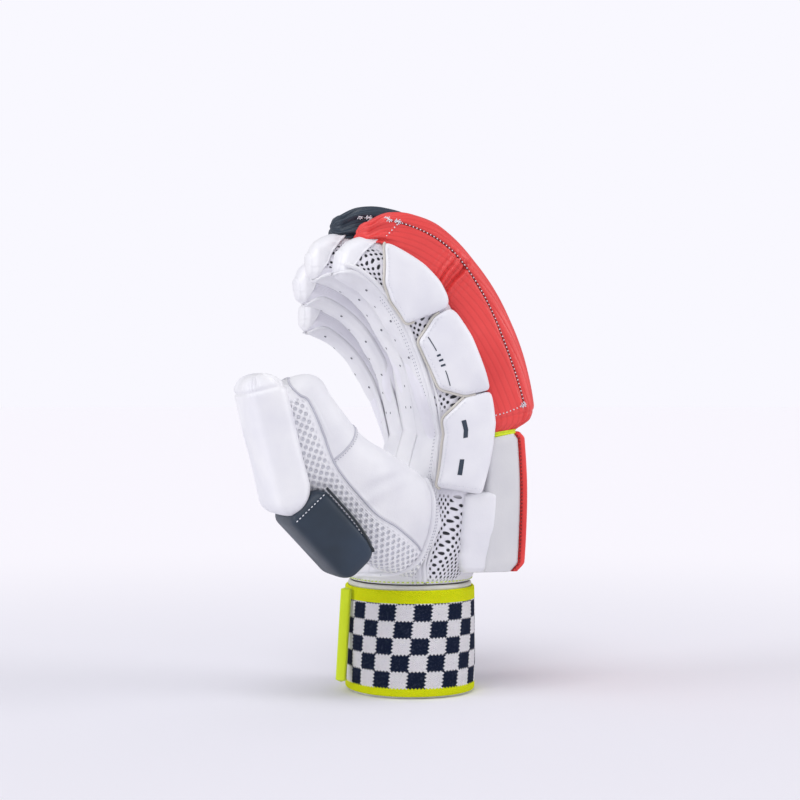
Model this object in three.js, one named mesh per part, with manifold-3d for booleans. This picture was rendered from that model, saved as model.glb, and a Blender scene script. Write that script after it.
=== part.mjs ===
// A cricket batting glove for the right hand, standing on its cuff.
// Millimetres, +Z up. The back of the hand faces +X, the palm faces -X and the thumb side faces -Y.
import * as THREE from 'three';
import { mergeVertices } from 'three/addons/utils/BufferGeometryUtils.js';
import Module from 'manifold-3d';

const wasm = await Module();
wasm.setup();

// Driving sizes of the cuff and its woven band
const cuffHalfDepth = 33; // leather lining, outside, from palm to back
const cuffHalfWidth = 37; // leather lining, outside, from thumb side to little finger side
const cuffHeight = 61.5;
const liningWall = 1.6;
const bandHeight = 57.6;
const bandLift = 1.2; // the lining's rim shows this much below the band
const bandWall = 2.2;
const tabWidth = 6;
const tabWall = 3;
const tabHeight = 52;
const tabLean = 3.5; // degrees, the foot of the tab further out
const tabTwist = 40; // degrees, how far the tab's free edge turns away from the band
const tabTurn = 188; // degrees round the band from the back of the hand
const tabLift = 5.2; // its middle stands this far off the band

// Driving sizes of the hand and its finger stalls
const palmLength = 84.5; // cuff to knuckle line
const webLength = 27; // knuckle line to the webs between the fingers
const webDepth = 0.96; // the hand's depth at the webs, as a share of the stalls'
const webInset = 0.4;
const webSeam = 0.76; // where the palm leather ends there
const handHalfWidth = 49.5;
const fingerPitch = 25;
const stallHalfWidth = 12;
const stallHalfDepth = 18.5;
const stallWall = 2;
const fingerPad = 9; // felt and foam behind the finger, inside the stall's back wall
const knuckleForward = 14.5; // the knuckles stand this far behind the wrist's axis
const indexLength = 122; // along the finger's path, from the knuckle to the end of the stall
const middleLength = 130;
const ringLength = 124;
const littleLength = 108;
const seamGap = 0.3; // between two pieces that touch

// Driving sizes of the padding
const rollDepth = 27.5;
const rollHalfWidth = 12.1;
const rollSeat = 4; // how far a pad's inner side reaches round the surface that it is sewn to
const blockDepth = 20.5;
const blockFace = 4.5; // the leather facing with its edge, on the block's outer side
const blockHalfWidth = 12;
const blockFoot = 68.5; // height of the blocks' lower ends
const blockHead = -8.8; // the blocks' upper ends along the fingers' paths, from the knuckle
const blockCorner = 3;
const tapeThickness = 3.6;
const tapeDepth = 15;
const tapeSeat = 1;
const tapeHalfWidth = 10.5;
const tapeCorner = 1;
const barThickness = 3.8;
const barCorner = 1.2;
const sidePadHalfDepth = 9.5;
const sidePadHalfWidth = 8;
const sidePadGap = 1; // between the side pad's head and the lower bar
const sidePadForward = 25;
const sidePadFootY = -35;
const sidePadHeadY = -41;

// Driving sizes of the thumb
const thumbReach = 80; // how far the tip stands in front of the wrist's axis
const thumbRise = 99.5; // height of the last section above the cuff
const thumbSide = 60; // how far the tip stands to the thumb side
const thumbHalfDepth = 27;
const thumbHalfWidth = 19;
const thumbTip = 13.5;
const thumbWall = 2;
const thumbPadDepth = 26;
const thumbPadHalfWidth = 21;
const thumbPadCorner = 5.5;
const tipPadLength = 74;
const basePadLength = 46.5;
const thumbPadSide = -57; // the pads' middle, towards the thumb side

// Sides of the sections
const STALL_SIDES = 12;
const HAND_SIDES = 24;
const THUMB_SIDES = 14;
const CUFF_SIDES = 36;

// Powers of the sections' corners
const STALL_CORNERS = 3.2;
const ROOM_CORNERS = 2.8;
const ROLL_CORNERS = 3.4;
const WEB_CORNERS = 4.5;
const THUMB_CORNERS = 2.4;
const TIP_CORNERS = 2.2;
const CUFF_CORNERS = 2.1;

// The four fingers. place counts pitches from the middle of the hand, knuckle is the height of the
// knuckle above the index finger's, bend is the angle that the finger has turned forward by its end,
// curl is the power by which it bends faster towards its end, and roll is the share of the finger's
// length that its padded roll covers.
const FINGERS = [
  { name: 'index', place: -1.5, length: indexLength, knuckle: 0, bend: 76, curl: 1.8, roll: 0.975 },
  { name: 'middle', place: -0.5, length: middleLength, knuckle: 3, bend: 90, curl: 1.8, roll: 0.905 },
  { name: 'ring', place: 0.5, length: ringLength, knuckle: 0, bend: 94, curl: 1.65, roll: 0.89 },
  { name: 'little', place: 1.5, length: littleLength, knuckle: -6, bend: 86, curl: 1.5, roll: 0.9 },
];
const ROLL_FINISH = { index: 'red', middle: 'navy', ring: 'red', little: 'navy' };
const knuckleLean = 12; // degrees forward at the knuckle

// Sections of a finger stall, at shares of the finger's length, as shares of the half depth and
// half width. drop moves the section towards the palm, as a share of the half depth, and seam is
// where the palm leather ends, as a share of that section's own half depth.
const STALL_ROWS = [
  { along: -0.3, depth: 0.82, width: 0.8, drop: 0, seam: 0.6 },
  { along: -0.08, depth: 0.97, width: 0.97, drop: 0, seam: 0.74 },
  { along: 0.1, depth: 1, width: 1, drop: 0, seam: 0.76 },
  { along: 0.26, depth: 1, width: 1, drop: 0, seam: 0.76 },
  { along: 0.42, depth: 0.98, width: 1, drop: 0, seam: 0.74 },
  { along: 0.57, depth: 0.93, width: 1, drop: 0, seam: 0.7 },
  { along: 0.71, depth: 0.86, width: 0.98, drop: 0, seam: 0.66 },
  { along: 0.83, depth: 0.79, width: 0.95, drop: 0, seam: 0.6 },
  { along: 0.92, depth: 0.7, width: 0.9, drop: 0.06, seam: 0.5 },
  { along: 0.975, depth: 0.54, width: 0.78, drop: 0.18, seam: 0.4 },
  { along: 1, depth: 0.34, width: 0.55, drop: 0.3, seam: 0.3 },
];

// Sections of the hand. rise is a share of the palm's length, forward of the knuckles' place,
// depth and width run from the cuff's half depth and half width (0) to the knuckles' (1), palm and
// back are the powers of the section's corners, seam is where the palm leather ends.
const HAND_ROWS = [
  { rise: 0, forward: 0, depth: 0, width: 0, lean: 0, palm: 2.1, back: 2.1, seam: 0.12 },
  { rise: 0.09, forward: 0, depth: 0.02, width: 0.1, lean: -5, palm: 2.2, back: 3, seam: 0.16 },
  { rise: 0.25, forward: 0.24, depth: 0.24, width: 0.36, lean: -8, palm: 2.3, back: 4, seam: 0.24 },
  { rise: 0.48, forward: 0.6, depth: 0.52, width: 0.66, lean: -7, palm: 2.7, back: 4.5, seam: 0.42 },
  { rise: 0.74, forward: 0.87, depth: 0.8, width: 0.9, lean: -2, palm: 3.2, back: 4.8, seam: 0.6 },
  { rise: 1, forward: 1, depth: 1, width: 1, lean: 10, palm: 4, back: 5, seam: 0.72 },
];
// Sections of the thumb stall, as shares of the thumb's driving sizes. seam is where the mesh ends
// and the leather of the inner side starts, as a share of the half depth.
const THUMB_ROWS = [
  { reach: 0.02, rise: 0.23, side: 0.48, depth: 0.82, width: 0.85, lean: 62, seam: -0.45 },
  { reach: 0.3, rise: 0.375, side: 0.7, depth: 1.03, width: 1, lean: 55, seam: -0.5 },
  { reach: 0.56, rise: 0.53, side: 0.85, depth: 0.96, width: 0.98, lean: 46, seam: -0.5 },
  { reach: 0.78, rise: 0.69, side: 0.95, depth: 0.79, width: 0.92, lean: 37, seam: -0.4 },
  { reach: 0.92, rise: 0.87, side: 0.99, depth: 0.67, width: 0.85, lean: 27, seam: -0.25 },
  { reach: 1, rise: 1, side: 1, depth: 0.58, width: 0.76, lean: 21, seam: -0.1 },
];

// Sections of a roll on a finger's back: shares of the roll's length along the finger, of its depth
// and of its half width. The dip is the crease where the roll flexes.
const ROLL_ROWS = [
  { along: -0.038, depth: 0.6, width: 0.86 },
  { along: -0.015, depth: 0.86, width: 0.97 },
  { along: 0.04, depth: 0.98, width: 1 },
  { along: 0.22, depth: 1, width: 1 },
  { along: 0.42, depth: 0.96, width: 1 },
  { along: 0.585, depth: 0.91, width: 1 },
  { along: 0.635, depth: 0.82, width: 0.97 },
  { along: 0.69, depth: 0.91, width: 1 },
  { along: 0.79, depth: 0.9, width: 1 },
  { along: 0.88, depth: 0.78, width: 0.97 },
  { along: 0.955, depth: 0.58, width: 0.88 },
  { along: 1, depth: 0.36, width: 0.66 },
];

// Sections of a block on the back of the hand, from its foot to its head
const BLOCK_ROWS = [
  { rise: 0, depth: 0.8, width: 0.84, lean: 0 },
  { rise: 0.075, depth: 0.98, width: 0.91, lean: 0 },
  { rise: 0.5, depth: 1, width: 0.96, lean: 0 },
  { rise: 0.94, depth: 0.94, width: 1, lean: 12 },
  { rise: 1, depth: 0.82, width: 0.95, lean: 12 },
];
const blockFan = 0.9; // the blocks' feet stand closer together than their heads

// Sections of the side pad, from its foot to its head
const SIDE_PAD_ROWS = [
  { rise: 0, size: 0.86 },
  { rise: 0.06, size: 1 },
  { rise: 0.5, size: 1 },
  { rise: 0.96, size: 1 },
  { rise: 1, size: 0.86 },
];

// The two pads on the thumb's back, from foot to head: the foot's place on the pad's outer face as
// shares of the thumb's reach and rise, the length, how far the pad leans forward, and its sections
const THUMB_PADS = [
  {
    name: 'thumb_tip_pad', finish: 'leather', reach: 1.1875, rise: 0.397, length: tipPadLength, lean: 14,
    rows: [
      { along: 0, depth: 0.86, width: 0.9 },
      { along: 0.06, depth: 1, width: 1 },
      { along: 0.5, depth: 1, width: 1 },
      { along: 0.8, depth: 1, width: 1 },
      { along: 0.93, depth: 0.76, width: 0.96 },
      { along: 1, depth: 0.46, width: 0.8 },
    ],
  },
  {
    name: 'thumb_base_pad', finish: 'navy', reach: 0.7375, rise: 0.0603, length: basePadLength, lean: 43,
    rows: [
      { along: 0, depth: 0.84, width: 0.86 },
      { along: 0.1, depth: 1, width: 0.96 },
      { along: 0.55, depth: 1, width: 1 },
      { along: 0.92, depth: 0.96, width: 1 },
      { along: 1, depth: 0.84, width: 0.92 },
    ],
  },
];

// The stiff bars on the thumb side of the index finger, as corners: shares of the finger's length
// from the knuckle, and of the stall's half depth towards the back of the hand
const SIDE_BARS = [
  { name: 'side_bar_upper', corners: [[0.89, 0.72], [0.88, 0.4], [0.79, -0.72], [0.63, -0.8],
    [0.52, -0.36], [0.53, 1], [0.6, 1.02], [0.72, 0.94]] },
  { name: 'side_bar_middle', corners: [[0.5, 0.1], [0.515, 1.06], [0.34, 1.08], [0.165, 1.05],
    [0.155, 0.06], [0.23, -0.62]] },
  { name: 'side_bar_lower', corners: [[0.14, 0.04], [0.148, 1.04], [-0.03, 1.03], [-0.28, 0.72],
    [-0.275, -0.52], [0.055, -0.36]] },
];

// Colours and finishes
const FINISHES = {
  leather: { color: 0xe9e9ec, roughness: 0.5, metalness: 0 },
  mesh: { color: 0xd6d6de, roughness: 0.85, metalness: 0 },
  red: { color: 0xd93a3c, roughness: 0.5, metalness: 0 },
  navy: { color: 0x22313f, roughness: 0.55, metalness: 0 },
  neon: { color: 0xdcf51e, roughness: 0.7, metalness: 0 },
  woven: { color: 0x8f93a3, roughness: 0.9, metalness: 0 },
};

const sideways = new THREE.Vector3(0, 1, 0);
const radians = THREE.MathUtils.degToRad;
const mix = THREE.MathUtils.lerp;

// Solids and meshes

// A closed three.js geometry as a solid that can be cut and joined
function solidOf(geometry) {
  const bare = geometry.clone();
  bare.deleteAttribute('normal');
  bare.deleteAttribute('uv');
  const merged = mergeVertices(bare, 1e-4);
  return new wasm.Manifold(new wasm.Mesh({
    numProp: 3,
    vertProperties: new Float32Array(merged.attributes.position.array),
    triVerts: new Uint32Array(merged.index.array),
  }));
}

const glove = new THREE.Group();
glove.name = 'batting_glove';

function piece(name, solid, finish) {
  const raw = solid.getMesh();
  const geometry = new THREE.BufferGeometry();
  geometry.setAttribute('position', new THREE.BufferAttribute(raw.vertProperties, 3));
  geometry.setIndex(new THREE.BufferAttribute(raw.triVerts, 1));
  geometry.computeVertexNormals();
  const mesh = new THREE.Mesh(geometry, new THREE.MeshStandardMaterial(FINISHES[finish]));
  mesh.name = name;
  glove.add(mesh);
}

function union(solids) {
  return solids.reduce((joined, next) => joined.add(next));
}

// The largest body of a solid: the offcuts of a trimmed piece fall away
function mainBody(solid) {
  return solid.decompose().reduce((best, body) => (body.volume() > best.volume() ? body : best));
}

// Points round a rounded rectangle: power 2 is an ellipse, and higher powers have squarer corners.
// The half towards +X may have its own power.
function ring(halfX, halfY, power, sides, backPower = power) {
  return Array.from({ length: sides }, (_, i) => {
    const angle = (2 * Math.PI * (i + 0.5)) / sides;
    const cos = Math.cos(angle);
    const sin = Math.sin(angle);
    const exponent = 2 / (cos > 0 ? backPower : power);
    return [
      halfX * Math.sign(cos) * Math.abs(cos) ** exponent,
      halfY * Math.sign(sin) * Math.abs(sin) ** exponent,
    ];
  });
}

// Points round a rectangle whose corners are cut off
function facets(halfX, halfY, corner) {
  return [
    [halfX, -halfY + corner], [halfX, halfY - corner], [halfX - corner, halfY],
    [-halfX + corner, halfY], [-halfX, halfY - corner], [-halfX, -halfY + corner],
    [-halfX + corner, -halfY], [halfX - corner, -halfY],
  ];
}

// A closed body through sections. Each section has a place, two directions and a ring of points.
function loft(sections) {
  const sides = sections[0].points.length;
  const positions = [];
  const indices = [];
  for (const { place, out, points } of sections) {
    for (const [x, y] of points) {
      const p = place.clone().addScaledVector(out, x).addScaledVector(sideways, y);
      positions.push(p.x, p.y, p.z);
    }
  }
  for (let row = 0; row < sections.length - 1; row++) {
    for (let i = 0; i < sides; i++) {
      const j = (i + 1) % sides;
      const a = row * sides;
      const b = a + sides;
      indices.push(a + i, a + j, b + j, a + i, b + j, b + i);
    }
  }
  const last = (sections.length - 1) * sides;
  for (let i = 1; i < sides - 1; i++) {
    indices.push(0, i + 1, i);
    indices.push(last, last + i, last + i + 1);
  }
  const geometry = new THREE.BufferGeometry();
  geometry.setAttribute('position', new THREE.Float32BufferAttribute(positions, 3));
  geometry.setIndex(indices);
  return solidOf(geometry);
}

// The outward direction of a section that leans forward by some degrees
function leaning(degrees) {
  return new THREE.Vector3(Math.cos(radians(degrees)), 0, Math.sin(radians(degrees)));
}

// Paths of the fingers

const PATH_STEPS = 120;

// A finger's path in its own X-Z plane, by the distance from the knuckle. Before the knuckle and
// past the end it runs straight on.
function fingerPath(finger) {
  const step = finger.length / PATH_STEPS;
  const leanAt = (i) => mix(knuckleLean, finger.bend, (i / PATH_STEPS) ** finger.curl);
  const points = [{ x: knuckleForward, z: cuffHeight + palmLength + finger.knuckle }];
  for (let i = 0; i < PATH_STEPS; i++) {
    const lean = radians(leanAt(i + 0.5));
    points.push({ x: points[i].x - step * Math.sin(lean), z: points[i].z + step * Math.cos(lean) });
  }
  return (distance) => {
    const position = THREE.MathUtils.clamp(distance / step, 0, PATH_STEPS);
    const i = Math.min(Math.floor(position), PATH_STEPS - 1);
    const lean = leanAt(position);
    const beyond = distance - position * step;
    return {
      x: mix(points[i].x, points[i + 1].x, position - i) - beyond * Math.sin(radians(lean)),
      z: mix(points[i].z, points[i + 1].z, position - i) + beyond * Math.cos(radians(lean)),
      lean,
    };
  };
}

for (const finger of FINGERS) {
  finger.y = finger.place * fingerPitch;
  finger.path = fingerPath(finger);
}
const [INDEX] = FINGERS;

// A section across a finger, at a distance from the knuckle and so far towards its back
function across(finger, distance, outward, points) {
  const at = finger.path(distance);
  const out = leaning(at.lean);
  const place = new THREE.Vector3(at.x, finger.y, at.z).addScaledVector(out, outward);
  return { place, out, points };
}

// A column of the stall's table at any share of the finger's length
function stallShare(along, column) {
  const upper = STALL_ROWS.findIndex((row) => row.along >= along);
  if (upper <= 0) return STALL_ROWS[upper === 0 ? 0 : STALL_ROWS.length - 1][column];
  const low = STALL_ROWS[upper - 1];
  const high = STALL_ROWS[upper];
  return mix(low[column], high[column], (along - low.along) / (high.along - low.along));
}

// Fingers and hand

// The outside of a stall, grown all round by an allowance
function stall(finger, grow) {
  return loft(STALL_ROWS.map((row, i) => {
    const end = (i === 0 ? -grow : 0) + (i === STALL_ROWS.length - 1 ? grow : 0);
    return across(finger, row.along * finger.length + end, -row.drop * stallHalfDepth,
      ring(stallHalfDepth * row.depth + grow, stallHalfWidth * row.width + grow,
        STALL_CORNERS, STALL_SIDES));
  }));
}

// The finger's room inside a stall, which lies towards the palm because of the pad behind it
function fingerRoom(finger) {
  return loft(STALL_ROWS.slice(1, -1).map((row, i, rows) => {
    const pad = fingerPad * row.depth;
    const half = stallHalfDepth * row.depth - stallWall - pad / 2;
    const back = i === rows.length - 1 ? stallWall : 0;
    return across(finger, row.along * finger.length - back, -pad / 2 - row.drop * stallHalfDepth,
      ring(half, stallHalfWidth * row.width - stallWall, ROOM_CORNERS, STALL_SIDES));
  }));
}

function handPlace(row) {
  const z = cuffHeight + seamGap + row.rise * palmLength;
  return new THREE.Vector3(row.forward * knuckleForward, 0, z);
}

const WEB = { ...INDEX, y: 0 };

// The hand between the cuff and the webs
function hand(grow) {
  const sections = HAND_ROWS.map((row, i) => {
    const place = handPlace(row);
    place.z -= i === 0 ? Math.abs(grow) : 0;
    return {
      place,
      out: leaning(row.lean),
      points: ring(mix(cuffHalfDepth, stallHalfDepth, row.depth) + grow,
        mix(cuffHalfWidth, handHalfWidth, row.width) + grow, row.palm, HAND_SIDES, row.back),
    };
  });
  const end = ring(stallHalfDepth * webDepth + grow, handHalfWidth - webInset + grow, WEB_CORNERS,
    HAND_SIDES);
  return loft([...sections, across(WEB, webLength + grow, 0, end)]);
}

// All that lies on the palm's side of the seam, one finger wide or as wide as the hand
function palmSide(grow) {
  const reach = stallHalfDepth;
  const slab = (halfDepth, seam, halfWidth) => {
    const low = -halfDepth - reach;
    const high = -halfDepth * seam + grow;
    return [[high, -halfWidth], [high, halfWidth], [low, halfWidth], [low, -halfWidth]];
  };
  const fingers = FINGERS.map((finger) => {
    const rows = STALL_ROWS.slice(1);
    return loft(rows.map((row, i) => {
      const past = i === rows.length - 1 ? stallHalfWidth : 0;
      const before = i === 0 ? grow : 0;
      return across(finger, row.along * finger.length + past - before, -row.drop * stallHalfDepth,
        slab(stallHalfDepth * row.depth, row.seam, fingerPitch / 2 + grow));
    }));
  });
  const wide = handHalfWidth + reach;
  const palm = HAND_ROWS.map((row, i) => {
    const place = handPlace(row);
    place.z -= i === 0 ? reach / 4 : 0;
    const depth = mix(cuffHalfDepth, stallHalfDepth, row.depth);
    return { place, out: leaning(row.lean), points: slab(depth, row.seam, wide) };
  });
  const web = across(WEB, webLength + grow, 0, slab(stallHalfDepth, webSeam, wide));
  return union([loft([...palm, web]), ...fingers]);
}

// All that lies past the webs between the fingers
function beyondWebs(grow) {
  const reach = INDEX.length;
  const corners = [[reach, -reach], [reach, reach], [-reach, reach], [-reach, -reach]];
  const web = across(WEB, webLength, 0, corners);
  const along = new THREE.Vector3().crossVectors(web.out, sideways);
  return loft([grow, 2 * reach].map((distance) => ({
    ...web, place: web.place.clone().addScaledVector(along, distance),
  })));
}

// The thumb

function thumbPlace(row) {
  return new THREE.Vector3(-row.reach * thumbReach, -row.side * thumbSide,
    cuffHeight + row.rise * thumbRise);
}

const THUMB_END = THUMB_ROWS[THUMB_ROWS.length - 1];
const THUMB_TIP = [{ share: 0.6, size: 0.82 }, { share: 1, size: 0.4 }];

function thumbTipPlace(distance) {
  const along = new THREE.Vector3().crossVectors(leaning(THUMB_END.lean), sideways);
  return thumbPlace(THUMB_END).addScaledVector(along, distance);
}

// The thumb stall, from inside the hand to its round tip
function thumb(grow) {
  const sections = THUMB_ROWS.map((row) => ({
    place: thumbPlace(row),
    out: leaning(row.lean),
    points: ring(thumbHalfDepth * row.depth + grow, thumbHalfWidth * row.width + grow,
      THUMB_CORNERS, THUMB_SIDES),
  }));
  const tip = THUMB_TIP.map(({ share, size }) => ({
    place: thumbTipPlace(share * (thumbTip + grow)),
    out: leaning(THUMB_END.lean),
    points: ring((thumbHalfDepth * THUMB_END.depth + grow) * size,
      (thumbHalfWidth * THUMB_END.width + grow) * size, TIP_CORNERS, THUMB_SIDES),
  }));
  return loft([...sections, ...tip]);
}

// All that lies on the thumb's inner side, where it is leather
function thumbLeatherSide(grow) {
  const slab = (row) => {
    const low = thumbHalfDepth * row.depth * row.seam - grow;
    const high = 1.6 * thumbHalfDepth;
    const wide = 2 * thumbHalfWidth;
    return [[high, -wide], [high, wide], [low, wide], [low, -wide]];
  };
  const sections = THUMB_ROWS.map((row) => ({
    place: thumbPlace(row),
    out: leaning(row.lean),
    points: slab(row),
  }));
  const beyond = {
    place: thumbTipPlace(2 * thumbTip),
    out: leaning(THUMB_END.lean),
    points: slab(THUMB_END),
  };
  return loft([...sections, beyond]);
}

// Shell

const handGrown = union([hand(seamGap), ...FINGERS.map((finger) => stall(finger, seamGap))]);
const thumbGrown = thumb(seamGap);
const thumbRoom = thumb(-thumbWall);
const shell = union([hand(0), ...FINGERS.map((finger) => stall(finger, 0))])
  .subtract(union([hand(-stallWall), ...FINGERS.map(fingerRoom)]))
  .subtract(thumbRoom);
const back = shell.subtract(palmSide(seamGap));
piece('palm_leather', mainBody(shell.intersect(palmSide(0))), 'leather');
piece('backhand_shell', mainBody(back.subtract(beyondWebs(0))), 'leather');
for (const finger of FINGERS) {
  piece(`finger_stall_${finger.name}`,
    mainBody(back.intersect(stall(finger, 0)).intersect(beyondWebs(seamGap))), 'mesh');
}

const thumbShell = thumb(0).subtract(thumbRoom).subtract(handGrown);
piece('thumb_leather', mainBody(thumbShell.intersect(thumbLeatherSide(0))), 'leather');
piece('thumb_mesh', mainBody(thumbShell.subtract(thumbLeatherSide(seamGap))), 'mesh');

// Thumb pads

// A pad round the back of the thumb. The second pad stops short of the first.
function thumbPad(pad, grow) {
  const along = new THREE.Vector3().crossVectors(leaning(pad.lean), sideways);
  const foot = new THREE.Vector3(-pad.reach * thumbReach, thumbPadSide,
    cuffHeight + pad.rise * thumbRise);
  return loft(pad.rows.map((row, i) => {
    const end = (i === 0 ? -grow : 0) + (i === pad.rows.length - 1 ? grow : 0);
    const place = foot.clone().addScaledVector(along, row.along * pad.length + end)
      .addScaledVector(leaning(pad.lean), thumbPadDepth / 2);
    return {
      place,
      out: leaning(pad.lean),
      points: facets((thumbPadDepth / 2) * row.depth + grow, thumbPadHalfWidth * row.width + grow,
        thumbPadCorner),
    };
  }));
}

const [TIP_PAD, BASE_PAD] = THUMB_PADS;
const handAndThumb = handGrown.add(thumbGrown);
piece(TIP_PAD.name, mainBody(thumbPad(TIP_PAD, 0).subtract(handAndThumb)), TIP_PAD.finish);
piece(BASE_PAD.name, mainBody(thumbPad(BASE_PAD, 0).subtract(handAndThumb)
  .subtract(thumbPad(TIP_PAD, seamGap))), BASE_PAD.finish);

// Rolls, knuckle tapes and blocks

function roll(finger, grow) {
  return loft(ROLL_ROWS.map((row, i) => {
    const end = (i === 0 ? -grow : 0) + (i === ROLL_ROWS.length - 1 ? grow : 0);
    const along = row.along * finger.roll;
    const inner = stallHalfDepth * stallShare(along, 'depth') - rollSeat;
    const half = (rollDepth * row.depth + rollSeat) / 2;
    return across(finger, along * finger.length + end, inner + half,
      ring(half + grow, rollHalfWidth * row.width + grow, ROLL_CORNERS, STALL_SIDES));
  }));
}

// A body through a block's sections, whose points follow from the row, the middle of the block's
// depth and half of it
function blockLoft(finger, grow, pointsOf) {
  const head = finger.path(blockHead);
  return loft(BLOCK_ROWS.map((row, i) => {
    const outer = blockDepth * row.depth;
    const end = (i === 0 ? -grow : 0) + (i === BLOCK_ROWS.length - 1 ? grow : 0);
    const out = leaning(row.lean);
    const place = new THREE.Vector3(head.x, finger.y * mix(blockFan, 1, row.rise),
      mix(blockFoot, head.z, row.rise) + end)
      .addScaledVector(out, stallHalfDepth + (outer - rollSeat) / 2);
    return { place, out, points: pointsOf(row, (outer + rollSeat) / 2) };
  }));
}

function block(finger, grow) {
  return blockLoft(finger, grow,
    (row, half) => facets(half + grow, blockHalfWidth * row.width + grow, blockCorner));
}

// All that lies further out than a block's face, which is as thick as blockFace
function facingSide(finger, grow) {
  const wide = 2 * blockHalfWidth;
  return blockLoft(finger, wide, (row, half) => {
    const low = half - blockFace - grow;
    return [[low + wide, -wide], [low + wide, wide], [low, wide], [low, -wide]];
  });
}

function tape(finger, grow) {
  const half = tapeDepth / 2 + grow;
  const middle = blockHead + 2 * seamGap + tapeThickness / 2;
  const points = facets(half, tapeHalfWidth + grow, tapeCorner);
  return loft([-1, 1].map((end) => across(finger, middle + end * (tapeThickness / 2 + grow),
    stallHalfDepth - tapeSeat + tapeDepth / 2, points)));
}

for (const finger of FINGERS) {
  piece(`finger_roll_${finger.name}`, mainBody(roll(finger, 0).subtract(handGrown)),
    ROLL_FINISH[finger.name]);
}
for (const finger of FINGERS) {
  piece(`knuckle_tape_${finger.name}`, mainBody(tape(finger, 0).subtract(handGrown)
    .subtract(roll(finger, seamGap)).subtract(block(finger, seamGap))), 'neon');
}
for (const finger of FINGERS) {
  const core = block(finger, 0).subtract(facingSide(finger, seamGap));
  const facing = block(finger, 0).intersect(facingSide(finger, 0));
  piece(`back_block_${finger.name}`, mainBody(core.subtract(handGrown)), 'leather');
  piece(`block_facing_${finger.name}`, mainBody(facing), 'red');
}

// Side bars and side pad

const indexPadding = union([roll(INDEX, seamGap), block(INDEX, seamGap), tape(INDEX, seamGap),
  handAndThumb]);

for (const bar of SIDE_BARS) {
  const shape = new THREE.Shape(bar.corners.map(([along, out]) => {
    const at = INDEX.path(along * INDEX.length);
    const p = leaning(at.lean).multiplyScalar(out * stallHalfDepth);
    return new THREE.Vector2(at.x + p.x, at.z + p.z);
  }));
  const geometry = new THREE.ExtrudeGeometry(shape, {
    depth: barThickness + rollSeat,
    bevelThickness: barCorner,
    bevelSize: barCorner,
    bevelOffset: -barCorner,
    bevelSegments: 1,
  });
  geometry.rotateX(Math.PI / 2);
  geometry.translate(0, -handHalfWidth + rollSeat, 0);
  piece(bar.name, mainBody(solidOf(geometry).subtract(indexPadding)), 'leather');
}

const lowerBar = SIDE_BARS[SIDE_BARS.length - 1];
const lowestCorner = Math.min(...lowerBar.corners.map(([along]) => along));
const sidePadHead = INDEX.path(lowestCorner * INDEX.length).z - sidePadGap;
const sidePad = loft(SIDE_PAD_ROWS.map((row) => ({
  place: new THREE.Vector3(sidePadForward, mix(sidePadFootY, sidePadHeadY, row.rise),
    mix(blockFoot, sidePadHead, row.rise)),
  out: leaning(0),
  points: facets(sidePadHalfDepth * row.size, sidePadHalfWidth * row.size, blockCorner),
})));
piece('side_pad', mainBody(sidePad.subtract(indexPadding)), 'leather');

// Cuff

function ovalTube(halfDepth, halfWidth, wall, low, high) {
  const tube = (inset, end) => loft([low - end, high + end].map((z) => ({
    place: new THREE.Vector3(0, 0, z),
    out: leaning(0),
    points: ring(halfDepth - inset, halfWidth - inset, CUFF_CORNERS, CUFF_SIDES),
  })));
  return tube(0, 0).subtract(tube(wall, 1));
}

piece('cuff_lining', ovalTube(cuffHalfDepth, cuffHalfWidth, liningWall, 0, cuffHeight), 'leather');
const bandGrow = seamGap + bandWall;
piece('wristband', ovalTube(cuffHalfDepth + bandGrow, cuffHalfWidth + bandGrow, bandWall, bandLift,
  bandLift + bandHeight), 'woven');

const tab = new THREE.BoxGeometry(tabWall, tabWidth, tabHeight);
tab.rotateZ(radians(tabTwist));
tab.translate(cuffHalfDepth + bandGrow + tabLift, 0, 0);
tab.rotateZ(radians(tabTurn));
tab.rotateY(radians(tabLean));
tab.translate(0, 0, bandLift + bandHeight / 2);
piece('wristband_tab', solidOf(tab), 'neon');

// The finished glove stands with the middle of its outline over the origin
const bounds = new THREE.Box3().setFromObject(glove);
const middle = bounds.getCenter(new THREE.Vector3());
for (const mesh of glove.children) {
  mesh.geometry.translate(-middle.x, -middle.y, -bounds.min.z);
}

export default glove;
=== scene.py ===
# %% [markdown]
# # A cricket batting glove, piece by piece
#
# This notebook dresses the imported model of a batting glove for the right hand. The glove stands on its
# cuff. The back of the hand faces +X, the palm faces -X and the thumb side faces -Y, towards the camera.
# Every visible piece is a surface worked out with numpy: a function of two parameters on a grid, a
# profile carried along a path, or a row of short threads. What makes a glove is its sewing, so seams,
# piping, stitches and gathers get as much care as the big forms.

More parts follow.
